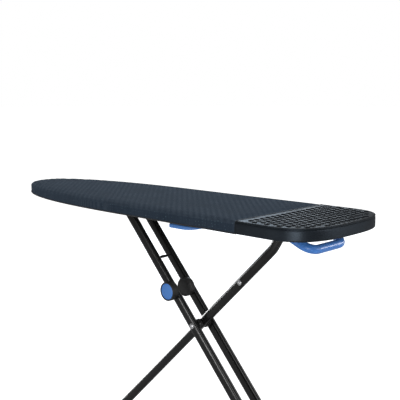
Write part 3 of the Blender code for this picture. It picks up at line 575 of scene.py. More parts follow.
def even(points, count):
    """The same line with count points at equal steps along it."""
    steps = np.hypot(*np.diff(points, axis=0).T)
    run = np.concatenate(([0], np.cumsum(steps)))
    keep = np.concatenate(([True], np.diff(run) > 0))
    want = np.linspace(0, run[-1], count)
    return np.stack([np.interp(want, run[keep], points[keep, k]) for k in range(2)], axis=1)


def both_sides(half):
    """A near-side line from its first point to the nose or tail, and back along the far side."""
    back = half[::-1] * np.array([1.0, -1.0])
    return np.concatenate((half, back[1:]))


def inward(points):
    """Unit normals that point into the board, for a line that runs near side first."""
    tangent = np.gradient(points, axis=0)
    tangent /= np.linalg.norm(tangent, axis=1, keepdims=True)
    normal = np.stack((-tangent[:, 1], tangent[:, 0]), axis=1)
    middle = np.array([points[:, 0].mean(), 0.0])
    flip = np.sign(((middle - points) * normal).sum(axis=1).sum())
    return normal * flip


def width_at(x):
    """The board's half width at x."""
    line = near_half()
    order = np.argsort(line[:, 0])
    return float(np.interp(x, line[order, 0], -line[order, 1]))


def shell_rings(line, centre_x, profile, rows):
    """Rings of points for a skin over the board: profile is (inset, depth) up to the flat top."""
    normal = inward(line)
    rings = []
    for inset, depth in profile:
        flat = line + normal * inset
        rings.append(np.column_stack((flat, np.full(len(flat), TOP - depth))))
    edge = rings[-1]
    middle = np.column_stack((centre_x, np.zeros(len(line)), edge[:, 2]))
    for row in range(1, rows + 1):
        share = (row / rows) ** 1.25
        rings.append(edge * (1 - share) + middle * share)
    return rings


def rings_to_mesh(rings, around=False):
    bm = skin([[Vector(p) for p in ring] for ring in rings], caps=False, around=around)
    bmesh.ops.remove_doubles(bm, verts=bm.verts, dist=2e-5)
    return bm


def nose_centres(line):
    """For each point of the line, the x of its partner on the centre line, drawn in from the nose tip."""
    share = np.clip((line[:, 0] + HALF_LENGTH) / 0.22, 0, 1)
    return line[:, 0] + 0.065 * (1 - share) ** 2


def smooth_arc(radius, steps):
    """The rounded edge from the skirt to the top, as (inset, depth) points."""
    points = []
    for i in range(steps + 1):
        turn = math.pi / 2 * i / steps
        points.append((radius * (1 - math.cos(turn)), radius * (1 - math.sin(turn))))
    return points


# ------------ cover, pad and iron rest

CLOTH = {
    "quality": 6,
    "mass": 0.25,
    "tension_stiffness": 40,
    "compression_stiffness": 40,
    "shear_stiffness": 15,
    "bending_stiffness": 4,
    "air_damping": 4,
    "use_pressure": True,
    "vertex_group_mass": "pinned",
}
FOLD_LENGTH = 0.0155
STITCH_LENGTH = 0.0030
STITCH_GAP = 0.0022
STITCH_RADIUS = 0.0004
COVER_TUCK = 0.004
COVER_THICK = 0.0009
COVER_SWELL = 0.0018
FELT_SWELL = 0.0004
BOOT_THICK = 0.0016
STUD_PITCH = 0.0216
STUD_MARGIN = 0.0150
# The stud lattice's start behind the seam, and its shift off the centre line.
STUD_START = 0.0073
STUD_SHIFT = 0.0040
# Stud faces steeper than this tilt take the wall paint, which is painted shade.
STUD_WALL_TILT = 0.75


def read_points(mesh):
    """The mesh's vertices as rows of x, y and z."""
    points = np.empty(len(mesh.vertices) * 3)
    mesh.vertices.foreach_get("co", points)
    return points.reshape(-1, 3)


def puff(obj, free, cap, frames=16, pressure=4.0):
    """Cloth simulation: the vertices outside the pinned rest swell by at most cap."""
    mesh = obj.data
    rest = read_points(mesh)
    group = obj.vertex_groups.new(name="pinned")
    for i, share in enumerate(free):
        group.add([i], 1.0 - float(share), "REPLACE")
    modifier = obj.modifiers.new("cloth", "CLOTH")
    for key, value in CLOTH.items():
        setattr(modifier.settings, key, value)
    modifier.settings.uniform_pressure_force = pressure
    modifier.settings.effector_weights.gravity = 0.0
    modifier.point_cache.frame_end = frames
    scene = bpy.context.scene
    for number in range(1, frames + 1):
        scene.frame_set(number)
    graph = bpy.context.evaluated_depsgraph_get()
    moved = read_points(obj.evaluated_get(graph).data)
    obj.modifiers.remove(modifier)
    obj.vertex_groups.remove(group)
    scene.frame_set(1)
    change = moved - rest
    length = np.linalg.norm(change, axis=1, keepdims=True)
    change *= cap * np.tanh(length / cap) / np.maximum(length, 1e-9)
    mesh.vertices.foreach_set("co", (rest + change).ravel())
    mesh.update()


def gather(rings, runs, rows):
    """Ripples the turned-in hem and eases the ripples out up the skirt."""
    for ring, (inset, depth) in zip(rings, rows):
        for i, run in enumerate(runs):
            wander = noise.noise(Vector((run * 9.0, 3.1, 0.0))) * 2.4
            size = 0.6 + 0.4 * noise.noise(Vector((run * 21.0, 8.7, 0.0)))
            fold = math.sin(run * 2 * math.pi / FOLD_LENGTH + wander)
            if depth > SKIRT - 0.0011:
                ring[i][2] -= 0.0011 * size * (1 + fold) * min(inset / 0.006, 1.0)
            else:
                rise = max(0.0, 1 - (SKIRT - depth) / 0.016)
                ring[i][:2] *= 1 + 0.0016 * size * fold * rise ** 2


def run_along(line):
    return np.concatenate(([0], np.cumsum(np.hypot(*np.diff(line, axis=0).T))))


def make_cover(weave, binding_and_shade, thread):
    half = near_half()
    line = both_sides(even(half[half[:, 0] <= SEAM_X + COVER_TUCK], 200))
    hem = mm((14, 31.2), (12.8, 31.9), (11, 32.1), (8, 32.1), (5, 32), (2.8, 31.6))
    side = mm((1.2, 30.6), (0.3, 29.3), (0, 27.5), (0, 24.5), (0, 21), (0, 17.5), (0, 13.5))
    rings = shell_rings(line, nose_centres(line), hem + side + smooth_arc(0.008, 6), 18)
    gather(rings, run_along(line), hem + side)
    tucked = line[:, 0] > SEAM_X
    inside_way = inward(line)
    for ring in rings:
        ring[tucked, :2] += inside_way[tucked] * 0.0014
        ring[tucked, 2] -= 0.0010
    cover = finish_mesh("cover_cloth", rings_to_mesh(rings), weave, "board", None)
    place = read_points(cover.data)
    free = np.clip((place[:, 2] - (TOP - 0.010)) / 0.008, 0, 1)
    free *= np.clip((SEAM_X - COVER_TUCK - place[:, 0]) / 0.03, 0, 1)
    puff(cover, free, COVER_SWELL)
    thicken(cover, COVER_THICK)
    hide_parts("board_cover")
    # Bound edge and stitching along the foot of the skirt. The edging's near-black tape is a real bound edge,
    # and partly painted shade under the skirt's foot.
    section = mm((2.2, 33), (0.4, 32.6), (-0.9, 31.2), (-1.1, 29.6), (-0.2, 29), (1.2, 30))
    band = []
    for spot, way in zip(line, inside_way):
        band.append([Vector((*(spot + way * inset), TOP - depth)) for inset, depth in section])
    edging = piece("cover_edging", skin(band), binding_and_shade, "board", None, "cover_fabric")
    bead = tube_on(line + inside_way * 0.0132, TOP - 0.0318, 0.0016, 8)
    casing = piece("hem_casing", bead, thread, "board", None, "cover_fabric")
    stitches = make_stitches(line, 0.0105, TOP - 0.0334)
    seam = piece("hem_stitches", stitches, thread, "board", None, "cover_fabric")


def tube_on(line, z, radius, sides):
    """A round bead that follows a line of (x, y) at height z."""
    rings = []
    for point, across in zip(line, inward(line)):
        middle = Vector((point[0], point[1], z))
        rings.append(oval(middle, Vector((*across, 0)) * radius, Vector((0, 0, radius)), sides))
    return skin(rings)


def make_stitches(line, inset, z):
    """Short thread bars at even steps along a line."""
    run = run_along(line)
    offset = line + inward(line) * inset
    radius = STITCH_RADIUS
    bm = bmesh.new()
    for number in range(int(run[-1] / (STITCH_LENGTH + STITCH_GAP))):
        start = number * (STITCH_LENGTH + STITCH_GAP)
        ends = []
        for place in (start, start + STITCH_LENGTH):
            ends.append(Vector((np.interp(place, run, offset[:, 0]), np.interp(place, run, offset[:, 1]), z)))
        side = (ends[1] - ends[0]).normalized().cross(UP)
        rings = []
        for share, size in ((0.0, 0.4), (0.2, 1.0), (0.8, 1.0), (1.0, 0.4)):
            middle = ends[0].lerp(ends[1], share) - Vector((0, 0, radius * (size - 0.4)))
            rings.append(oval(middle, side * radius * size, Vector((0, 0, radius * size)), 5))
        skin(rings, bm=bm)
    return bm


def tail_centres(line):
    """Partners on the centre line for the tail half, drawn in evenly from the seam to the tail."""
    run = run_along(line)
    share = 1 - np.abs(run / run[-1] - 0.5) * 2
    return SEAM_X + (HALF_LENGTH - 0.075 - SEAM_X) * share


def make_boot(silicone, dull):
    """The iron rest: a moulded boot with a lipped rim, a stud field and a turned-in foot."""
    half = near_half()
    tail = half[half[:, 0] >= SEAM_X][::-1]
    tail[0, 0] = SEAM_X
    line = both_sides(even(tail, 110))
    foot = mm((14, 30), (14, 31.8), (13.2, 32.2), (6, 32.2), (2.2, 32), (0.8, 31.4), (0.1, 30.2))
    wall = mm((0, 28), (0, 20), (0.2, 11), (0.4, 6))
    groove = mm((0.9, 4.7), (2, 4.1), (2, 3.2), (1.1, 2.7))
    rim = mm((0.5, 2.2), (0.4, 1.4), (0.8, 0.5), (1.8, -0.1), (3.2, -0.4), (6, -0.6), (10, -0.6))
    rings = shell_rings(line, tail_centres(line), foot + wall + groove + rim, 16)
    boot = finish_mesh("rest_boot", rings_to_mesh(rings), silicone, "board", 50)
    thicken(boot, BOOT_THICK)
    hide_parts("iron_rest")
    studs = bmesh.new()
    column = STUD_PITCH * math.sqrt(3) / 2
    stud = mm((0, 7.6), (1.1, 7.2), (1.8, 6.6), (2.2, 5.6), (2.5, 4))
    stud += [(0.0026, 0.0)]
    edge_line = line + inward(line) * STUD_MARGIN
    number = 0
    x = SEAM_X + STUD_START + column
    while x < HALF_LENGTH:
        shift = STUD_PITCH / 2 if number % 2 else 0.0
        for step in range(-9, 10):
            y = step * STUD_PITCH + shift - STUD_SHIFT
            if inside(edge_line, x, y):
                turned((x, y, TOP + 0.0002), stud, UP, 20, studs)
        x += column
        number += 1
    field = piece("rest_studs", studs, silicone, "board", None, "rest_silicone")
    # The studs' steep walls take a copy of the silicone with half the gloss, so they render darker: painted
    # shade on the studs' sides.
    field.data.materials.append(dull)
    for face in field.data.polygons:
        face.material_index = int(face.normal.z < STUD_WALL_TILT)
    section = mm((-1, -0.4), (-1.4, 0.6), (-0.8, 1.3), (0.6, 1.5), (2.6, 1.1), (3.6, 0.5), (3.4, -0.4))
    lip = []
    for step in range(61):
        y = (step / 30 - 1) * (HALF_WIDTH - 0.006)
        lip.append([Vector((SEAM_X + dx, y, TOP + dz)) for dx, dz in section])
    piece("rest_front_lip", skin(lip), silicone, "board", None, "rest_silicone")


def inside(line, x, y):
    """Whether a place is within the closed line (the line's ends are joined straight)."""
    hits = 0
    for (x0, y0), (x1, y1) in zip(line, np.roll(line, -1, axis=0)):
        if (y0 > y) != (y1 > y) and x < x0 + (y - y0) / (y1 - y0) * (x1 - x0):
            hits += 1
    return hits % 2 == 1


def full_line():
    """The whole outline as a closed line, near side first, tail to nose and back."""
    return both_sides(even(near_half(), 170))[:-1]


def closed_inward(points):
    tangent = np.roll(points, -1, axis=0) - np.roll(points, 1, axis=0)
    tangent /= np.linalg.norm(tangent, axis=1, keepdims=True)
    normal = np.stack((-tangent[:, 1], tangent[:, 0]), axis=1)
    return normal * np.sign((-points * normal).sum())


def make_felt(felt):
    line = full_line()
    normal = closed_inward(line)
    low, high = (corner.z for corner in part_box("felt_pad"))
    levels = [(0.0045, low), (0.0032, low + 0.0004), (0.0030, low + 0.0016)]
    levels += [(0.0050, high - 0.0012), (0.0085, high - 0.0002)]
    edge = [np.column_stack((line + normal * inset, np.full(len(line), z))) for inset, z in levels]
    middle_low, middle_high = (
        np.column_stack((line[:, 0] * 0.88, np.zeros(len(line)), np.full(len(line), z))) for z in (low, high)
    )
    shares = (1.0, 0.75, 0.5, 0.25, 0.08)
    rings = [edge[0] * (1 - share) + middle_low * share for share in shares]
    rings += edge
    rings += [edge[-1] * (1 - share) + middle_high * share for share in shares[::-1]]
    pad = finish_mesh("felt_core", rings_to_mesh(rings, around=True), felt, "board", None)
    place = read_points(pad.data)
    free = np.clip((place[:, 2] - (high - 0.002)) / 0.0018, 0, 1)
    puff(pad, free, FELT_SWELL, 10, 2.0)
    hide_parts("felt_pad")


# ------------ deck and steelwork

MESH_PITCH = (0.0125, 0.0056)
STRAND_HALF = 0.0009


def make_deck(steel):
    """Expanded steel mesh inside a plain rim."""
    low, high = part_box("deck_plate")
    line = full_line()
    normal = closed_inward(line)
    rim = []
    for inset, z in ((0.0021, high.z), (0.0021, low.z), (0.0105, low.z), (0.0105, high.z)):
        rim.append([Vector((*p, z)) for p in line + normal * inset])
    bm = skin(rim, closed=True)
    long_way, short_way = MESH_PITCH
    middle = (low.z + high.z) / 2
    half_thick = (high.z - low.z) / 2
    columns = int(HALF_LENGTH / long_way) + 1
    rows = int(HALF_WIDTH / short_way) + 1
    kept = set()
    for i in range(-columns, columns + 1):
        x = i * long_way
        limit = max(0.0, width_at(x) - 0.0098) if abs(x) < HALF_LENGTH - 0.010 else 0.0
        for j in range(-rows, rows + 1):
            if (i + j) % 2 == 0 and abs(j * short_way) < limit:
                kept.add((i, j))
    up = Vector((0, 0, half_thick * 0.92))
    for i, j in kept:
        for step in (-1, 1):
            if (i + 1, j + step) not in kept:
                continue
            start = Vector((i * long_way, j * short_way, middle))
            end = Vector(((i + 1) * long_way, (j + step) * short_way, middle))
            across = (end - start).cross(UP).normalized() * STRAND_HALF
            section = (-across - up, across - up, across + up, -across + up)
            skin([[start + s for s in section], [end + s for s in section]], bm=bm)
    piece("deck_mesh", bm, steel, "board", 30, "deck_steel", "deck_plate")


def pressed_plate(node, name, paint, corner, beads, rise=0.0012, sheet=0.0014, step=0.004):
    """A sheet-metal plate with rounded corners and pressed beads, inside the node's box.

    Each bead is (x centre, y centre, half length along X, half width along Y)."""
    low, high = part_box(node)
    nx = max(8, int((high.x - low.x) / step))
    ny = max(6, int((high.y - low.y) / step))
    centre = (low + high) / 2
    half = (high - low) / 2
    bm = bmesh.new()
    grid = {}
    for i in range(nx + 1):
        for j in range(ny + 1):
            x = (i / nx * 2 - 1) * half.x
            y = (j / ny * 2 - 1) * half.y
            over_x = max(0.0, abs(x) - (half.x - corner))
            over_y = max(0.0, abs(y) - (half.y - corner))
            if over_x and over_y:
                squeeze = max(over_x, over_y) / math.hypot(over_x, over_y)
                x = math.copysign(half.x - corner + over_x * squeeze, x)
                y = math.copysign(half.y - corner + over_y * squeeze, y)
            depth = 0.0
            for bx, by, bl, bw in beads:
                u = max(0.0, abs(x - bx) - max(0.0, bl - bw))
                v = max(0.0, abs(y - by) - max(0.0, bw - bl))
                gone = math.hypot(u, v) / min(bl, bw)
                if gone < 1:
                    depth = max(depth, 0.5 + 0.5 * math.cos(math.pi * gone))
            grid[i, j] = bm.verts.new((centre.x + x, centre.y + y, high.z - rise * depth))
    for i in range(nx):
        for j in range(ny):
            bm.faces.new((grid[i, j], grid[i + 1, j], grid[i + 1, j + 1], grid[i, j + 1]))
    obj = piece(name, bm, paint, "board", 40, "deck_steel", node)
    if obj.data.polygons[0].normal.z < 0:
        obj.data.flip_normals()
    thicken(obj, sheet)
    edge = obj.modifiers.new("edge", "BEVEL")
    edge.width = 0.0003
    edge.segments = 2
    edge.limit_method = "ANGLE"
    edge.angle_limit = math.radians(60)


def make_steelwork(steel, bright):
    beads = [(0.0, hand * 0.036, 0.034, 0.0045) for hand in (-1, 1)]
    pressed_plate("tail_plate", "tail_plate_pressed", steel, 0.010, beads)
    spine_low, spine_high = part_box("deck_spine")
    reach = (spine_high.x - spine_low.x) / 2
    beads = [(0.0, hand * 0.0095, reach - 0.02, 0.0042) for hand in (-1, 1)]
    pressed_plate("deck_spine", "spine_pressed", steel, 0.008, beads)
    bm = bmesh.new()
    dome = mm((0, 3.6), (0.5, 3.5), (1.1, 2.6), (1.4, 1.3), (1.5, 0))
    for name in ("cross_brace_1", "cross_brace_2"):
        low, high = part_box(name)
        beads = [(0.0, 0.0, 0.0055, (high.y - low.y) / 2 - 0.012)]
        pressed_plate(name, name + "_pressed", steel, 0.009, beads, 0.0009, 0.0012, 0.003)
        for y in (low.y + 0.009, -0.040, 0.040, high.y - 0.009):
            turned(((low.x + high.x) / 2, y, high.z - 0.0012), dome, -UP, 16, bm)
    for x in (spine_low.x + 0.014, spine_high.x - 0.014):
        turned((x, 0, spine_high.z - 0.0014), dome, -UP, 16, bm)
    piece("deck_rivets", bm, bright, "board", 40, "zinc_steel")


# ------------ handle, lever and small hardware

BAR_RADIUS = 0.0114
BAR_BEND = 0.032
# Half the length and half the width of the handle's feet.
HANDLE_FOOT = (0.019, 0.0125)
# The lever arm's ends, from the tail.
LEVER_ARM = (0.417, 0.365)


def make_handle(blue, bright):
    low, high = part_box("carry_handle")
    radius = BAR_RADIUS
    foot_long, foot_half = HANDLE_FOOT
    span = high.y - foot_half
    root = (low.x + foot_long, TOP - 0.027)
    grip = (high.x - radius, low.z + radius)
    corners = [Vector((x, hand * span, z)) for hand, (x, z) in ((-1, root), (-1, grip), (1, grip), (1, root))]
    path = bent_path(corners, BAR_BEND, 16)
    lean = (corners[0] - corners[1]).cross(ACROSS).normalized()
    rings = []
    sides = 48
    for point, across in zip(path, path_normals(path, lean)):
        ring = []
        for i in range(sides):
            turn = 2 * math.pi * i / sides
            seam = 0.00022 * max(0.0, 1 - abs(math.sin(turn)) / 0.09)
            size = radius * (1.035 + 0.012 * math.cos(4 * turn)) + seam
            ring.append(point + across * math.cos(turn) * size + lean * math.sin(turn) * size)
        rings.append(ring)
    bm = skin(rings)
    ahead = (corners[1] - corners[0]).normalized()
    across = ahead.cross(lean).normalized()
    for hand in (-1, 1):
        corner_low = (root[0] - foot_long, hand * span - foot_half, root[1] - 0.008)
        corner_high = (root[0] + foot_long, hand * span + foot_half, high.z)
        rounded_box(bm, corner_low, corner_high, 0.0032)
        start = Vector((root[0] + 0.006, hand * span, root[1] - 0.0025))
        collar = []
        for at in np.linspace(0, 1, 9):
            swell = radius + 0.0021 * (1 - at) ** 2
            collar.append(oval(start + ahead * 0.026 * at, across * swell, lean * swell, 32))
        skin(collar, bm=bm)
    piece("carry_grip", bm, blue, "board", 35, "blue_plastic", "carry_handle")
    for hand in ("near", "far"):
        for number in (1, 2):
            node = f"handle_screw_{hand}_{number}"
            a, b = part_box(node)
            middle = (a + b) / 2
            bm = pan_screw(Vector((middle.x, middle.y, a.z)), b.z - a.z)
            piece("machine_" + node, bm, bright, "board", 35, "zinc_steel", node)


def pan_screw(bottom, length):
    """A screw that points up, with a domed head below and a six-sided socket in it."""
    sides = 24
    head = 0.0042
    head_height = 0.0025
    shank = 0.0020
    levels = [(0.0011, head * 0.40, True), (0.0001, head * 0.42, True), (0.0000, head * 0.55, False)]
    levels += [(0.0004, head * 0.82, False), (0.0010, head * 0.97, False), (0.0016, head, False)]
    levels += [(head_height, head, False), (head_height, shank, False), (length, shank, False)]
    rings = []
    for rise, radius, hexagonal in levels:
        ring = []
        for i in range(sides):
            turn = 2 * math.pi * i / sides
            size = radius
            if hexagonal:
                size = radius * math.cos(math.pi / 6) / math.cos((turn % (math.pi / 3)) - math.pi / 6)
            ring.append(bottom + Vector((math.cos(turn) * size, math.sin(turn) * size, rise)))
        rings.append(ring)
    return skin(rings)


def coil(start, along, length, arms, radius, wire, turns, steps, sides):
    """Round wire wound about the line from start; arms are two directions square to it."""
    rings = []
    for i in range(turns * steps + 1):
        turn = 2 * math.pi * i / steps
        arm = arms[0] * math.cos(turn) + arms[1] * math.sin(turn)
        centre = start + along * (length * i / (turns * steps)) + arm * radius
        rings.append(oval(centre, arm * wire, along * wire, sides))
    return skin(rings)


def lever_blade(low, high, outer):
    """The blade under the skirt: a shallow plate with a rounded lip that hangs along its outer edge."""
    top_out = TOP - 0.0372
    top_in = TOP - 0.0345
    thick = 0.0036
    soft = 0.0012
    # Places in from the lip's outer face, with heights over the blade's top and over the lip's foot.
    shoulder = mm((6.2, 0.3), (3.4, -0.3), (1.3, -1), (0.3, -1.8), (0, -2.6))
    curl = [(0.0, 2.4), (0.0002, 1.0), (0.0009, 0.3), (0.0021, 0.0), (0.0033, 0.3), (0.0041, 1.0)]
    curl.append((0.0046, 2.4))
    under = mm((5, 0.2), (6.2, 0), (9, 0))
    rings = []
    stations = 60
    for i in range(stations + 1):
        share = i / stations
        x = high.x + (low.x - high.x) * share
        ends = min(share, 1 - share) * stations
        soft_end = 1 - 0.35 * max(0.0, 1 - ends / 2.0) ** 2
        bulge = math.sin(math.pi / 2 * min(share / 0.60, 1.0)) ** 0.8
        inner = outer - 0.020 - 0.024 * bulge
        reach = outer - 0.010 * (1 - bulge)
        lip = TOP - (0.0385 + 0.0105 * bulge)
        outline = [(-inner, top_in), (-(inner + reach - 0.005) / 2, (top_in + top_out) / 2 + 0.0004)]
        outline += [(dy - reach, top_out + dz) for dy, dz in shoulder]
        outline += [(dy - reach, lip + rise * soft) for dy, rise in curl]
        outline += [(dy - reach, top_out - thick + dz) for dy, dz in under]
        outline.append((-inner, top_in - thick))
        cy = sum(p[0] for p in outline) / len(outline)
        cz = sum(p[1] for p in outline) / len(outline)
        rings.append([Vector((x, cy + (y - cy) * soft_end, cz + (z - cz) * soft_end)) for y, z in outline])
    return skin(rings)


def lever_arm(bm, near, far, outer, rod_z):
    """The waisted arm from the blade to the rod: a web between two rails, top and bottom."""
    # The outer end's y, top and bottom, and the rod end's.
    outer_end = (-outer + 0.0200, TOP - 0.0357, TOP - 0.0408)
    rod_end = (-0.0045, rod_z + 0.0045, rod_z - 0.0045)
    plate = []
    for share in np.linspace(0, 1, 13):
        half = (far - near) / 2 * (1 - 0.16 * math.sin(math.pi * share))
        inner = half - 0.0035
        y, top, foot = (a + (b - a) * share for a, b in zip(outer_end, rod_end))
        web = (top - foot) * 0.30
        section = [(-half, foot), (-half, top), (-inner, top), (-inner, top - web)]
        section += [(inner, top - web), (inner, top), (half, top), (half, foot)]
        section += [(inner, foot), (inner, foot + web), (-inner, foot + web), (-inner, foot)]
        plate.append([Vector(((near + far) / 2 + across, y, z)) for across, z in section])
    skin(plate, bm=bm)


def make_lever(blue, bright):
    low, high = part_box("release_lever")
    outer = -low.y
    bm = lever_blade(low, high, outer)
    rod_z = centre_of("release_rod").z
    near, far = (HALF_LENGTH - end for end in LEVER_ARM)
    lever_arm(bm, near, far, outer, rod_z)
    long = far - near
    boss = mm((0, 3.4), (0, 5.8), (0.7, 6.5))
    boss += [(long - 0.0007, 0.0065), (long, 0.0058), (long, 0.0034), (0.0, 0.0034)]
    turned((near, 0, rod_z), boss, ALONG, 36, bm)
    piece("squeeze_lever", bm, blue, "release", 40, "blue_plastic", "release_lever")
    a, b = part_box("lever_spring")
    start = Vector((a.x + 0.0006, 0.0, rod_z))
    bm = coil(start, ALONG, b.x - a.x - 0.0012, (ACROSS, UP), 0.0052, 0.0006, 5, 24, 10)
    piece("lever_return_spring", bm, bright, "board", None, "zinc_steel", "lever_spring")


# ------------ legs

PAIR_TUBE = (0.016, 0.009)
TAIL_TUBE = (0.0135, 0.0085)
TUBE_WALL = 0.0012
TOP_OVERRUN = 0.007
TUBE_SIDES = 56
TUBE_SQUARENESS = 2.9
# The knee's distance from the tail and from the top.
KNEE = (0.2432, 0.1030)
KNEE_RADIUS = 0.090
PIN_RADIUS = 0.004
STRIP_HALF = (0.0045, 0.0014)
STRIP_LEAN = math.radians(20)
FOOT_CAP_RADIUS = 0.0149
GROOVE_PITCH = 0.0045
GROOVE_DEPTH = 0.0007


def joint_place(name):
    found = [j for j in frame["record"]["behaviour"]["joints"] if j["name"] == name][0]
    return Vector(found["pos_m"])


def oval_tube(name, path, halves, paint, body, node):
    """An open-ended oval tube in the XZ plane; halves are across the path and along Y."""
    normals = path_normals(path, ACROSS)
    walls = []
    for inset in (0.0, TUBE_WALL):
        flat, deep = (half - inset for half in halves)
        rings = [oval(p, n * flat, ACROSS * deep, TUBE_SIDES, TUBE_SQUARENESS) for p, n in zip(path, normals)]
        walls.append(rings)
    bm = skin(walls[0] + walls[1][::-1], closed=True)
    piece(name, bm, paint, body, 40, "leg_enamel", node)


def round_head(bm, centre, grip, radius, height, axis):
    """A domed rivet head with a thin washer under it, standing on a face at grip from centre."""
    dome = [(1.0, 0.0), (0.97, 0.28), (0.86, 0.55), (0.66, 0.80), (0.40, 0.95), (0.22, 1.0), (0.20, 1.28)]
    profile = [(grip + height * rise, radius * share) for rise, share in dome]
    profile += [(grip + 0.0001, radius * 1.30), (grip + 0.0001, 0.0)]
    turned(centre, profile, axis, 36, bm)


def tube_plug(name, centre, along_path, halves, paint, body):
    """A moulded plug in a tube's open end."""
    across = along_path.cross(ACROSS).normalized()
    steps = [(-0.010, 0.80), (-0.0002, 0.84), (0.0, 0.97), (0.0004, 0.96), (0.0008, 0.84)]
    steps += [(0.0010, 0.5), (0.0011, 0.1)]
    rings = []
    for out, share in steps:
        first = across * halves[0] * share
        rings.append(oval(centre + along_path * out, first, ACROSS * halves[1] * share, 36, 2.3))
    piece(name, skin(rings), paint, body, 35, "hub_plastic")


def make_legs(enamel, chrome, plastic):
    hinge = joint_place("tail_leg_fold")
    cross = joint_place("legs_cross")
    shaft = joint_place("slide_shaft_turn")
    up = (shaft - cross).normalized()
    pair_foot = centre_of("pair_foot_bar")
    tail_foot = centre_of("tail_foot_bar")
    top = shaft + up * TOP_OVERRUN
    for side in ("near", "far"):
        y = centre_of(side + "_leg_tube").y
        start = Vector((top.x, y, top.z))
        foot = Vector((pair_foot.x, y, pair_foot.z))
        path = [start.lerp(foot, i / 24) for i in range(25)]
        oval_tube(side + "_leg_oval", path, PAIR_TUBE, enamel, "pair_legs", side + "_leg_tube")
        tube_plug(side + "_leg_plug", start, up, PAIR_TUBE, plastic, "pair_legs")
    knee = Vector((HALF_LENGTH - KNEE[0], 0.0, TOP - KNEE[1]))
    up_tail = (hinge - knee).normalized()
    top = hinge + up_tail * TOP_OVERRUN
    path = bent_path([top, knee, tail_foot], KNEE_RADIUS, 18)
    fine = path[:-1] + [path[-2].lerp(path[-1], i / 24) for i in range(1, 25)]
    oval_tube("tail_leg_oval", fine, TAIL_TUBE, enamel, "tail_leg", "tail_leg_tube")
    tube_plug("tail_leg_plug", top, up_tail, TAIL_TUBE, plastic, "tail_leg")
    grip = -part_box("near_leg_tube")[0].y
    rivet("cross_rivet", cross, grip, 0.0062, 0.0040, chrome, "pair_legs", "pivot_axle")
    place = centre_of("tail_leg_rivet")
    rivet("knee_rivet", place, 0.0086, 0.0058, 0.0034, chrome, "tail_leg", "tail_leg_rivet")
    low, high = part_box("tail_hinge_pin")
    grip = (high.y - low.y) / 2 - 0.0038
    rivet("hinge_rivet", (low + high) / 2, grip, 0.0062, 0.0036, chrome, "board", "tail_hinge_pin")
    make_spacers(enamel)
    make_strip(enamel)


def rivet(name, centre, grip, radius, height, paint, body, node):
    """A pin along Y with a domed head at each end."""
    pin = [(-grip, 0.0), (-grip, PIN_RADIUS), (grip, PIN_RADIUS), (grip, 0.0)]
    bm = turned(centre, pin, ACROSS, 24)
    for hand in (-1, 1):
        round_head(bm, centre, grip, radius, height, (0, hand, 0))
    piece(name, bm, paint, body, 35, "chrome", node)


def make_spacers(paint):
    for side in ("near", "far"):
        low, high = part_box(side + "_spacer")
        half = (high.y - low.y) / 2
        r = (high.z - low.z) / 2
        face = [(0.0010, r - 0.0008), (0.0016, r), (half - 0.0012, r), (half - 0.0004, r - 0.0003)]
        face += [(half, r - 0.0012), (half, 0.0043)]
        profile = [(-offset, radius) for offset, radius in face[::-1]] + face + [(-half, 0.0043)]
        bm = turned((low + high) / 2, profile, ACROSS, 56)
        piece(side + "_drum", bm, paint, "pair_legs", 35, "leg_enamel", side + "_spacer")


def make_strip(paint):
    low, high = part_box("leg_brace")
    middle = (low + high) / 2
    rings = []
    for share in np.linspace(0, 1, 61):
        turn = math.pi * share + STRIP_LEAN
        wide = Vector((math.cos(turn), 0.0, math.sin(turn))) * STRIP_HALF[0]
        thin = Vector((-math.sin(turn), 0.0, math.cos(turn))) * STRIP_HALF[1]
        centre = Vector((middle.x, low.y + (high.y - low.y) * share, middle.z))
        rings.append(oval(centre, wide, thin, 20, 4.0))
    piece("twisted_brace", skin(rings), paint, "pair_legs", 50, "leg_enamel", "leg_brace")


def front_of(node):
    """The middle of a node's -Y face."""
    low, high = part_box(node)
    return Vector(((low.x + high.x) / 2, low.y, (low.z + high.z) / 2))


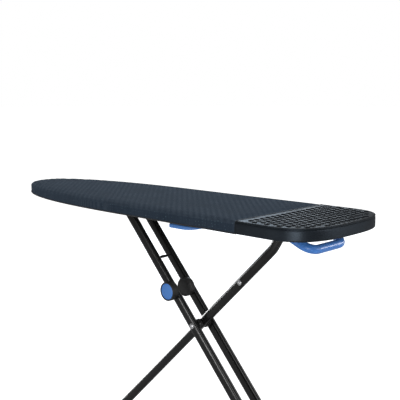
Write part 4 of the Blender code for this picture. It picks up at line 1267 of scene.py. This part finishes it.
def make_hubs(plastic, blue, bright):
    for side, pocket in (("near", 0.0141), ("far", 0.0034)):
        node = side + "_hub_housing"
        low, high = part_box(node)
        r = (high.z - low.z) / 2
        depth = high.y - low.y
        mouth = [(pocket, 0.0), (pocket, 0.0252)]
        mouth += mm((1.6, 25.2), (1.3, 24.4), (0.6, 24.2), (0, 25.1))
        rim = [(0.0001, r - 0.0016), (0.0006, r - 0.0007), (0.0015, r - 0.0001), (0.0022, r)]
        band = [(0.0056, r), (0.0060, r - 0.0005), (0.0066, r - 0.0005), (0.0070, r)]
        back = [(depth - 0.0030, r), (depth - 0.0012, r - 0.0006), (depth - 0.0003, r - 0.0018)]
        profile = mouth + rim + band + back + [(depth, r - 0.0034), (depth, 0.0)]
        bm = turned(front_of(node), profile, ACROSS, 72)
        piece(side + "_hub_drum", bm, plastic, "pair_legs", 35, "hub_plastic", node)
    face = mm((-0.2, 0), (-0.1, 12), (0.2, 20.5), (0.4, 21.5), (0.9, 21.9))
    face += mm((0.9, 22.6), (0.3, 23.1), (0.2, 24.1), (0.6, 24.8), (3, 24.9), (3, 0))
    bm = turned(front_of("far_hub_cap"), face, ACROSS, 72)
    piece("far_hub_lid", bm, plastic, "pair_legs", 30, "hub_plastic", "far_hub_cap")
    crown = 0.0008
    face = [(-crown, 0.0), (-0.00078, 0.005), (-0.0006, 0.011), (-0.0003, 0.0165), (0.0000, 0.0200)]
    face += mm((0.3, 21.2), (0.8, 21.6), (1, 22), (0.8, 22.4), (0.1, 22.8))
    face += mm((-0.2, 23.3), (-0.1, 23.9), (0.4, 24.5), (1.2, 24.9), (5, 24.9), (5, 0))
    bm = turned(front_of("lock_button") + ACROSS * crown, face, ACROSS, 72)
    piece("push_button", bm, blue, "button", 30, "blue_plastic", "lock_button")
    low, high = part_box("button_spring")
    start = front_of("button_spring") + ACROSS * 0.0005
    bm = coil(start, ACROSS, high.y - low.y - 0.001, (ALONG, UP), 0.009, 0.0005, 3, 28, 8)
    spring = piece("button_coil", bm, bright, "pair_legs", None, "zinc_steel", "button_spring")
    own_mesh(spring)


def make_feet(enamel, rubber):
    reach = FOOT_CAP_RADIUS
    groove = reach - GROOVE_DEPTH
    for foot, body in (("pair", "pair_legs"), ("tail", "tail_leg")):
        low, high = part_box(f"{foot}_foot_bar")
        middle = (low + high) / 2
        half = (high.y - low.y) / 2
        r = (high.z - low.z) / 2
        profile = [(-half, r - 0.0012), (-half, r), (half, r), (half, r - 0.0012), (-half, r - 0.0012)]
        bm = turned(middle, profile, ACROSS, 56)
        piece(f"{foot}_foot_tube", bm, enamel, body, 35, "leg_enamel", f"{foot}_foot_bar")
        for label, hand in (("near", -1), ("far", 1)):
            node = f"{foot}_foot_cap_{label}"
            a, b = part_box(node)
            outer = a.y if hand < 0 else b.y
            length = b.y - a.y
            bore = r + 0.0003
            profile = [(length - 0.006, 0.0), (length - 0.006, bore), (length, bore)]
            profile += [(length, reach - 0.0006), (length - 0.0006, reach)]
            place = length - 0.004
            while place > 0.012:
                profile += [(place, reach), (place - 0.0005, groove)]
                profile += [(place - 0.0014, groove), (place - 0.0019, reach)]
                place -= GROOVE_PITCH
            profile += [(0.0040, reach), (0.0018, reach - 0.0006), (0.0006, reach - 0.0018)]
            profile += [(0.0, reach - 0.0040), (0.0001, 0.0)]
            bm = turned((middle.x, outer, middle.z), profile, (0, -hand, 0), 56)
            for vert in bm.verts:
                vert.co.z = max(vert.co.z, a.z)
            piece(node.replace("_cap_", "_boot_"), bm, rubber, body, 35, "foot_rubber", node)


# ------------ everything together


make_camera()
make_stage()

WEAVE = cover_paint()
# Near-black edge tape: a real bound edge, and partly painted shade at the foot of the skirt.
BINDING_AND_SHADE = tape_paint("edge_tape_and_shade", srgb(18, 20, 25), srgb(34, 38, 45))
THREAD = tape_paint("hem_thread", srgb(30, 35, 43), srgb(62, 70, 80))
SILICONE = silicone_paint("rest_silicone", srgb(13, 16, 20), srgb(20, 24, 29), 0.28)
# The stud walls' paint: the rest's silicone with half the gloss, painted shade for the shaded sides of the
# studs.
STUD_WALL_SHADE = silicone_paint("stud_wall_painted_shade", srgb(14, 17, 20), srgb(20, 24, 28), 0.14)
ENAMEL = enamel_paint("leg_enamel", (0.0045, 0.0045, 0.0045), (0.0078, 0.0078, 0.0078), 0.22)
DECK = enamel_paint("deck_enamel", (0.030, 0.030, 0.031), (0.050, 0.050, 0.051), 0.42)
ZINC = metal_paint("zinc_plate", (0.60, 0.60, 0.58), 0.32, 240.0, (0.15, 1.0, 1.0))
CHROME = metal_paint("chrome_plate", (0.78, 0.78, 0.79), 0.12, 500.0, (1.0, 1.0, 1.0))
NYLON = plastic_paint("hub_nylon", (0.011, 0.011, 0.011), (0.018, 0.018, 0.018), 0.46)
BLUE = plastic_paint("blue_moulding", (0.082, 0.255, 0.68), (0.095, 0.282, 0.74), 0.34)
GRIP_BLUE = plastic_paint("grip_moulding", (0.068, 0.248, 0.72), (0.080, 0.276, 0.79), 0.30)
RUBBER = rubber_paint()

make_cover(WEAVE, BINDING_AND_SHADE, THREAD)
make_boot(SILICONE, STUD_WALL_SHADE)
make_felt(felt_paint())
make_deck(DECK)
make_steelwork(DECK, ZINC)
make_handle(GRIP_BLUE, ZINC)
make_lever(BLUE, ZINC)
make_legs(ENAMEL, CHROME, NYLON)
make_hubs(NYLON, BLUE, ZINC)
make_feet(ENAMEL, RUBBER)
make_glints()

CARRIED_OVER = [
    (DECK, ["edge_band", "near_rail", "far_rail", "tail_hinge_bracket"]),
    (DECK, ["rod_bearing_1", "rod_bearing_2", "rod_bearing_3"]),
    (ZINC, ["release_rod", "catch_strip", "catch_arm_1", "catch_arm_2", "slide_shaft"]),
    (NYLON, ["near_shoe", "far_shoe"]),
]
for finish, node_names in CARRIED_OVER:
    for node_name in node_names:
        repaint(node_name, finish)
